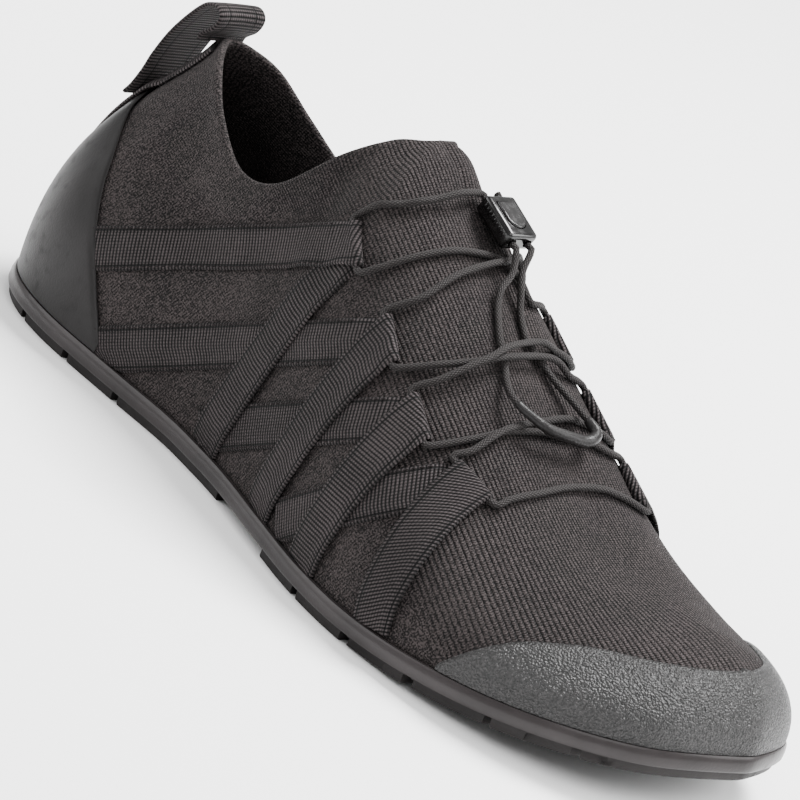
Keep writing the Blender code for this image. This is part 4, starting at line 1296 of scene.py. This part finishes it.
class SHOE_OT_upper(bpy.types.Operator):
    """Knit the hollow upper with its rolled collar"""

    bl_idname = "shoe.upper"
    bl_label = "Upper"

    def execute(self, context):
        places = [k + i / ROW_STEPS for k in range(LOOP) for i in range(ROW_STEPS)] + [float(LOOP)]
        rises = np.linspace(0.0, 1.0, RISE_STEPS + 1)[:, None]
        outer = np.array([last_point(c, rises) for c in places])
        normal = self.normals(outer, places)
        outer = outer + normal * self.folds(outer, places)[..., None]
        inner = outer - normal * UPPER_WALL
        rows = outer.shape[1]
        skirt = np.array([0.0, 0.0, SIDE_BAND_TOP - LUG_DEPTH - SOLE_WEB - GAP])
        columns = [outer[:, :1] - skirt, outer]
        columns += [self.roll(outer, inner, normal, places), inner[:, ::-1], inner[:, :1] - skirt]
        grid = np.concatenate(columns, axis=1)
        span = grid.shape[1]
        roll = range(rows, rows + ROLL_STEPS + 1)
        faces = []
        for i in range(len(places) - 1):
            at_rim = min(places[i], LOOP - places[i + 1]) < FRONT_ROW - 1e-6
            for j in range(span):
                if j in roll and not at_rim:
                    continue
                k = (j + 1) % span
                a, b = i * span, (i + 1) * span
                faces.append([a + j, b + j, b + k, a + k])
        slope = radians(WALE_SLOPE)
        ahead = np.array([cos(slope), 0.0, -sin(slope)])
        above = np.array([sin(slope), 0.0, cos(slope)])
        from_axis = grid - np.array(WALE_AXIS)
        turn = np.arctan2(from_axis[..., 1], from_axis @ above)
        chart = np.stack([from_axis @ ahead, turn * WALE_RADIUS], axis=2)
        row = np.minimum(np.minimum(places, LOOP - np.array(places)), LAST_ROW)
        least = np.interp(row, *zip(*RIBBED_FROM))[:, None]
        up = rises[:, 0]
        shares = np.concatenate([[0.0], up, np.ones(ROLL_STEPS), up[::-1], [0.0]])
        ribbed = eased_step((shares - least) / RIBBED_FADE + 0.5)
        knit = add_piece(
            "knit_upper",
            grid.reshape(-1, 3),
            faces,
            LOOKS["knit"],
            chart.reshape(-1, 2),
            smooth=80,
            ribbed=ribbed.ravel(),
        )
        ride(knit, "knit", "upper")
        return {"FINISHED"}

    @staticmethod
    def normals(grid, places):
        """The ways out of the wall, alike where its two sides meet on the ridge."""
        along = np.gradient(grid, axis=0)
        along[0] = along[-1] = grid[1] - grid[-2]
        up = np.gradient(grid, axis=1)
        up[:, -1] = up[:, -2]
        normal = np.cross(along, up)
        normal[:, -1] = normal[:, -2]
        normal = units(normal)
        for i, c in enumerate(places):
            if FRONT_ROW <= c <= LOOP / 2:
                twin = len(places) - 1 - i
                for j, share in ((-1, 1.0), (-2, 0.5)):
                    mean = unit(normal[i, j] + normal[twin, j])
                    for k in (i, twin):
                        normal[k, j] = unit(normal[k, j] * (1 - share) + mean * share)
        toe = [i for i, c in enumerate(places) if LAST_ROW <= c <= LAST_ROW + 1]
        normal[toe, -1] = unit(normal[toe, -1].sum(axis=0))
        return normal

    @staticmethod
    def folds(grid, places):
        """How far the worn knit stands in or out at each point."""
        rise = np.zeros(grid.shape[:2])
        sizes = np.array([LENGTH, COLLAR_HEIGHT])
        side = np.where(np.array(places) < LOOP / 2, -1, 1)
        seen = grid[..., [0, 2]]
        for crease in CREASES:
            start, end = np.array(crease.start) * sizes, np.array(crease.end) * sizes
            run = end - start
            share = ((seen - start) @ run) / (run @ run)
            fade = eased_step((share + 0.25) / 0.35) * eased_step((1.25 - share) / 0.35)
            near = start + np.clip(share, 0.0, 1.0)[..., None] * run
            gap = np.linalg.norm(seen - near, axis=2)
            bump = np.exp(-((gap / crease.half) ** 2)) * fade
            rise += crease.rise * bump * np.isin(side, crease.sides)[:, None]
        middle = np.array(SWELL_PLACE) * np.array([LENGTH, BALL_WIDTH, COLLAR_HEIGHT])
        away = np.linalg.norm(grid - middle, axis=2)
        return rise + SWELL_RISE * np.exp(-((away / SWELL_RADIUS) ** 2))

    @staticmethod
    def roll(outer, inner, normal, places):
        """Points over the collar's rim, from the outer wall to the inner one."""
        at_rim = [i for i, c in enumerate(places) if min(c, LOOP - c) <= FRONT_ROW + 1e-6]
        front = [i for i in at_rim if places[i] < LOOP / 2]
        back = [i for i in at_rim if places[i] > LOOP / 2]
        order = front + back[1:-1]
        rim = outer[order, -1]
        run = np.roll(rim, -1, axis=0) - np.roll(rim, 1, axis=0)
        lift = units(np.cross(normal[order, -1], run))
        turned = np.repeat(outer[:, -1:], ROLL_STEPS, axis=1)
        middle = (outer[:, -1] + inner[:, -1]) / 2
        ways = {i: way for i, way in zip(order, lift)}
        ways[back[0]] = ways[front[-1]]
        ways[len(places) - 1] = ways[0]
        for i in at_rim:
            half = (outer[i, -1] - inner[i, -1]) / 2
            for j in range(ROLL_STEPS):
                angle = pi * (j + 1) / (ROLL_STEPS + 1)
                arm = ways[i] * np.linalg.norm(half) * ROLL_LIFT
                turned[i, j] = middle[i] + half * cos(angle) + arm * sin(angle)
        return turned


def guard_piece(name, edge, places, look, edge_rise):
    """A rubber guard on the last, from just over the sole up to its edge, edge_rise off it."""
    line = finer(edge, 12)
    order = np.argsort(line[:, 0])
    rows, tops = line[order, 0], line[order, 1]
    shares = np.linspace(0.0, 1.0, GUARD_STEPS + 1)
    grid, walls = [], []
    for c in places:
        folded = min(c % LOOP, LOOP - c % LOOP)
        rise = float(np.interp(folded, rows, tops)) - GUARD_FOOT
        full = eased_step((1 - shares) * rise / GUARD_TAPER)
        lifts = edge_rise + (GUARD_RISE - edge_rise) * full
        heights = GUARD_FOOT + rise * shares
        grid.append([off_last(c, float(v), float(up)) for v, up in zip(heights, lifts)])
        walls.append(GUARD_WALL * (GUARD_EDGE + (1 - GUARD_EDGE) * full))
    points, faces, chart = layered(np.array(grid), np.array(walls))
    return add_piece(name, points, faces, look, chart)


class SHOE_OT_guards(bpy.types.Operator):
    """Mould the grained toe cap and the smooth heel counter"""

    bl_idname = "shoe.guards"
    bl_label = "Toe cap and heel counter"

    def execute(self, context):
        start, end = CAP_EDGE[0][0], LOOP - CAP_EDGE[0][0]
        places = np.linspace(start, end, GUARD_RINGS)
        cap = guard_piece("toe_cap_rubber", CAP_EDGE, places, LOOKS["grain"], CAP_EDGE_RISE)
        ride(cap, "toe_rubber", "toe_cap")
        reach = COUNTER_EDGE[-1][0]
        places = np.linspace(-reach, reach, COUNTER_RINGS)
        look = LOOKS["counter"]
        counter = guard_piece("heel_counter_rubber", COUNTER_EDGE, places, look, GUARD_RISE)
        ride(counter, "counter_rubber", "heel_counter")
        return {"FINISHED"}


def leg_rows(band, end, fold_run, offset):
    """Rings of a band's leg from its fold to its end, five points across at offset(far, whole)."""
    loop = np.array([band.loop_along, band.loop_height])
    place = (loop_row(band), 0.4)
    places = []
    for i in range(LEG_STEPS + 1):
        along, height = loop + (np.array(end) - loop) * (i / LEG_STEPS) ** 1.25
        place = seen_from_side(along * LENGTH, height * COLLAR_HEIGHT, place)
        places.append(place)
    points = [last_point(*place) for place in places]
    far = runs_to(points)
    rings = []
    for i, place in enumerate(places):
        run = points[min(i + 1, LEG_STEPS)] - points[max(i - 1, 0)]
        square = unit(np.cross(last_normal(*place), run))
        if square @ fold_run < 0:
            square = -square
        slanted = fold_run / max(0.72, float(square @ fold_run))
        share = float(eased_step(far[i] / TURN_RUN))
        half = (slanted * (1 - share) + square * share) * WEB_WIDTH / 2
        lift = offset(far[i], far[-1])
        rings.append([off_last(*shift(*place, half * s), lift) for s in (-1, -0.5, 0, 0.5, 1)])
    return np.array(rings)


def under_cord(far):
    """The leg that lies below the cord in the fold, where the lace presses it into the knit."""
    return LOW_LEG - FOLD_SINK * (1 - eased_step(far / SINK_RUN))


def over_cord(far):
    """The leg that comes down from over the cord in the fold."""
    top = WEB_THICKNESS * 1.4 + CORD_DIAMETER - FOLD_SINK
    return top + (HIGH_LEG - top) * eased_step(far / DROP_RUN)


def leg_offsets(band):
    """How far the rear and the front leg of a band stand off the last at a distance from its fold.

    The front leg lies over the rear one, but under it by the fold of the first band on each side,
    and it tucks in behind the sole's edge.
    """
    rear_on_top = band.name.endswith("_1")
    step = HIGH_LEG - LOW_LEG

    def rear(far, whole):
        if rear_on_top:
            return over_cord(far) - step * eased_step((far - REAR_CROSSING) / 0.014)
        return under_cord(far)

    def front(far, whole):
        tuck = step * (1 - eased_step((whole - far) / TUCK_RUN))
        if rear_on_top:
            return under_cord(far) + step * eased_step((far - FRONT_CROSSING) / 0.008) - tuck
        return over_cord(far) - tuck

    return rear, front


def band_grid(band):
    """The mid surface of one V of webbing, and how many of its rings are the rear leg's.

    Its rings run from its rear end round its fold to its foot.
    """
    ends = [fold_point(band, far, 0.0) for far in (-WEB_WIDTH / 2, WEB_WIDTH / 2)]
    fold_run = unit(ends[1] - ends[0])
    rear = np.array([band.rear_along, band.rear_height])
    if band.rear_along < TUCKED_BEFORE:
        rear += (rear - np.array([band.loop_along, band.loop_height])) * LEG_TUCK
    foot_height = (SIDE_BAND_TOP + spring(band.foot_along * LENGTH) + 0.0004) / COLLAR_HEIGHT
    rear_offset, front_offset = leg_offsets(band)
    back = leg_rows(band, rear, fold_run, rear_offset)[::-1]
    front = leg_rows(band, (band.foot_along, foot_height), fold_run, front_offset)
    way = fold_way(band)[1]
    low, high = back[-1], front[0]
    rise = high[2] - low[2]
    ahead = unit(np.cross(fold_run, rise))
    ahead *= np.sign(ahead @ np.array([way[0], 0.0, way[1]])) * np.linalg.norm(rise) / 2
    angles = [pi * i / 6 for i in range(1, 6)]
    turn = [low + (high - low) * (1 - cos(a)) / 2 + ahead * sin(a) for a in angles]
    grid = np.concatenate([finer(back, 4), turn, finer(front, 4)])
    return finer_across(grid, 2), 4 * (len(back) - 1) + 1


class SHOE_OT_bands(bpy.types.Operator):
    """Sew the eight V bands of ribbed webbing to the upper"""

    bl_idname = "shoe.bands"
    bl_label = "Webbing bands"

    def execute(self, context):
        lines = []
        for band in BANDS:
            grid, back_rings = band_grid(band)
            piece = joined(
                band.name + "_webbing", [layered(grid, WEB_THICKNESS)], LOOKS["webbing"], smooth=60
            )
            ride(piece, "webbing", band.name)
            back = grid[: back_rings - 8]
            for column, other in ((0, 1), (-1, -2)):
                edge = back[:, column] * 0.72 + back[:, other] * 0.28
                run = np.gradient(edge, axis=0)
                outward = units(np.cross(run, back[:, -1] - back[:, 0]) * band.side)
                outward *= np.sign(outward[:, 1:2] * band.side + 1e-9)
                lines.append((edge + outward * (WEB_THICKNESS / 2 + 0.0001), outward))
        spacing = context.scene.shoe_textures.stitch
        shape = bead(spacing * STITCH_SHARE, STITCH_WIDTH, STITCH_HEIGHT)
        thread = repeated("band_edge_stitches", lines, spacing, *shape, LOOKS["thread"])
        ride(thread, "webbing")
        return {"FINISHED"}


class SHOE_OT_pull_loop(bpy.types.Operator):
    """Sew the heel's strip and its pull loop"""

    bl_idname = "shoe.pull_loop"
    bl_label = "Pull loop"

    def execute(self, context):
        counter_top = COUNTER_EDGE[0][1]
        across = np.array([0.0, PULL_WIDTH / 2, 0.0])
        rings = []
        for v in np.linspace(STRIP_START, STRIP_END, STRIP_STEPS + 1):
            near = [counter_top + 0.01, counter_top + 0.08]
            rise = float(np.interp(v, near, [0.0021, 0.0008]))
            shares = (1, 0.5, 0, -0.5, -1)
            rings.append([off_last(*shift(0.0, float(v), across * s), rise) for s in shares])
        strip = finer_across(finer(rings, 3), 2)
        line = finer(np.array(PULL_LOOP) * COLLAR_HEIGHT, 8)
        free = []
        for i, (x, z) in enumerate(line):
            sag = 0.0004 * sin(pi * i / (len(line) - 1))
            shares = np.linspace(-1.0, 1.0, 7)
            free.append([[x + sag * s * s, s * (PULL_WIDTH / 2 - GAP), z] for s in shares])
        parts = [layered(grid, PULL_THICKNESS) for grid in (strip, np.array(free))]
        piece = joined("pull_loop_webbing", parts, LOOKS["webbing"], smooth=60)
        ride(piece, "webbing", "pull_loop")
        return {"FINISHED"}


def sole_slab(name, rings, places, looks, split):
    """A sole-shaped body from rings of (inset, height); rings below split take the second look."""
    count = len(places)
    points = []
    for inset, height in rings:
        for c in places:
            edge, out = sole_edge(c)
            points.append([*(edge - out * inset), spring(edge[0]) + height])
    faces = rings_to_faces(len(rings), count, caps=False)
    lookup = [int(r < split) for r in range(len(rings) - 1) for _ in range(count)]
    top = (len(rings) - 1) * count
    for i in range(count // 2):
        far = [(count - i - 1) % count, (count - i) % count]
        across = list(dict.fromkeys([i, i + 1, *far]))
        faces += [across[::-1], [top + a for a in across]]
        lookup += [int(split > 0), 0]
    return add_piece(name, points, faces, looks, lookup=lookup, smooth=35)


def cut_away(target, tool):
    """Cut the tool's shape out of the target, and remove the tool."""
    change = target.modifiers.new("cut", "BOOLEAN")
    change.operation = "DIFFERENCE"
    change.solver = "EXACT"
    change.object = tool
    apply_changes(target)
    bpy.data.objects.remove(tool, do_unlink=True)
    target.data.shade_smooth()
    target.data.set_sharp_from_angle(angle=radians(35))


class SHOE_OT_sole(bpy.types.Operator):
    """Mould the outsole with its lugs, and lay the insole in it"""

    bl_idname = "shoe.sole"
    bl_label = "Outsole and insole"

    def execute(self, context):
        side = [k + i / SOLE_STEPS for k in range(LAST_ROW) for i in range(SOLE_STEPS)]
        side += [LAST_ROW, LAST_ROW + 0.25]
        places = side + [LOOP / 2] + [LOOP - c for c in side[:0:-1]]
        floor_top = LUG_DEPTH + SOLE_WEB
        rings = [
            (LUG_SETBACK + 0.0006, 0.0),
            (LUG_SETBACK + 0.0002, 0.0005),
            (LUG_SETBACK, GROOVE_ROOF),
            (LUG_SETBACK - 0.0003, LUG_DEPTH),
            (0.0003, LUG_DEPTH + 0.0002),
            (0.0, LUG_DEPTH + 0.0008),
            (0.0, SIDE_BAND_TOP - 0.0022),
            (0.0003, SIDE_BAND_TOP - 0.0006),
            (0.0008, SIDE_BAND_TOP),
            (SIDE_BAND_WALL - 0.0003, SIDE_BAND_TOP),
            (SIDE_BAND_WALL, SIDE_BAND_TOP - 0.0004),
            (SIDE_BAND_WALL, floor_top),
        ]
        looks = [LOOKS["side_band"], LOOKS["lugs"]]
        sole = sole_slab("outsole_rubber", rings, places, looks, 3)
        cutters = [self.groove(groove) for groove in GROOVES]
        cutters += [self.pocket(corners) for corners in ARCH_POCKETS]
        cutters += [self.recess(*rows, way) for rows in SIDE_RECESSES for way in (-1, 1)]
        for points, rows in cutters:
            faces = rings_to_faces(rows, len(points) // rows)
            cut_away(sole, add_piece("cut", points, faces, LOOKS["lugs"]))
        ride(sole, "sole_rubber", "outsole")
        inset = SIDE_BAND_WALL + UPPER_WALL + 2 * GAP
        low = floor_top + GAP
        high = low + INSOLE_THICKNESS
        rings = [
            (inset, low),
            (inset, high - 0.0008),
            (inset + 0.0003, high - 0.0002),
            (inset + 0.0010, high),
        ]
        insole = sole_slab("insole_cloth_top", rings, places, [LOOKS["lining"]], 0)
        ride(insole, "insole_foam", "insole")
        return {"FINISHED"}

    @staticmethod
    def groove(groove):
        """Points of a chevron bar across the tread, and its rows."""
        half = GROOVE_REACH * BALL_WIDTH
        points = []
        for along, y in (
            (groove.edge_along, -half),
            (groove.point_along, 0.0),
            (groove.edge_along, half),
        ):
            for dx, up in ((-1, 0), (1, 0), (0.8, 1), (-0.8, 1)):
                x = along * LENGTH + dx * GROOVE_WIDTH / 2
                points.append([x, y, spring(x) + GROOVE_ROOF if up else -LUG_DEPTH])
        return points, 3

    @staticmethod
    def pocket(corners):
        """Points of a block that fills one pocket of the arch, and its rows."""
        low = [[a * LENGTH, b * BALL_WIDTH, -LUG_DEPTH] for a, b in corners]
        return low + [[x, y, spring(x) + GROOVE_ROOF] for x, y, _ in low], 2

    @staticmethod
    def recess(start, end, side):
        """Points of a strip along the outer faces of the lugs, and its rows."""
        rows, low, high = 13, -0.003, LUG_DEPTH - 0.0005
        deep = LUG_SETBACK + RECESS_DEPTH
        points = []
        for row in np.linspace(start, end, rows):
            edge, out = sole_edge(row if side < 0 else LOOP - row)
            for inset, height in ((-0.002, low), (deep, low), (deep, high), (-0.002, high)):
                points.append([*(edge - out * inset), spring(edge[0]) + height])
        return points, rows


class SHOE_PT_pieces(bpy.types.Panel):
    """The shoe's pieces, colours and textures"""

    bl_idname = "SHOE_PT_pieces"
    bl_label = "Barefoot shoe"
    bl_space_type = "VIEW_3D"
    bl_region_type = "UI"
    bl_category = "Shoe"

    def draw(self, context):
        for piece in PIECES:
            self.layout.operator(piece.bl_idname)
        for group in (context.scene.shoe_colours, context.scene.shoe_textures):
            for name in group.__annotations__:
                self.layout.prop(group, name)


# In the order in which the shoe is made
PIECES = (
    SHOE_OT_stage,
    SHOE_OT_cord_ends,
    SHOE_OT_laces,
    SHOE_OT_lock,
    SHOE_OT_upper,
    SHOE_OT_guards,
    SHOE_OT_bands,
    SHOE_OT_pull_loop,
    SHOE_OT_sole,
)
CLASSES = (ShoeColours, ShoeTextures, *PIECES, SHOE_PT_pieces)


def register():
    for kind in CLASSES:
        bpy.utils.register_class(kind)
    bpy.types.Scene.shoe_colours = bpy.props.PointerProperty(type=ShoeColours)
    bpy.types.Scene.shoe_textures = bpy.props.PointerProperty(type=ShoeTextures)


def unregister():
    del bpy.types.Scene.shoe_textures
    del bpy.types.Scene.shoe_colours
    for kind in reversed(CLASSES):
        bpy.utils.unregister_class(kind)


def main():
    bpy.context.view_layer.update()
    register()
    bpy.ops.shoe.stage()
    bpy.ops.shoe.cord_ends()
    bpy.ops.shoe.laces()
    bpy.ops.shoe.lock()
    bpy.ops.shoe.upper()
    bpy.ops.shoe.guards()
    bpy.ops.shoe.bands()
    bpy.ops.shoe.pull_loop()
    bpy.ops.shoe.sole()


if __name__ == "__main__":
    main()
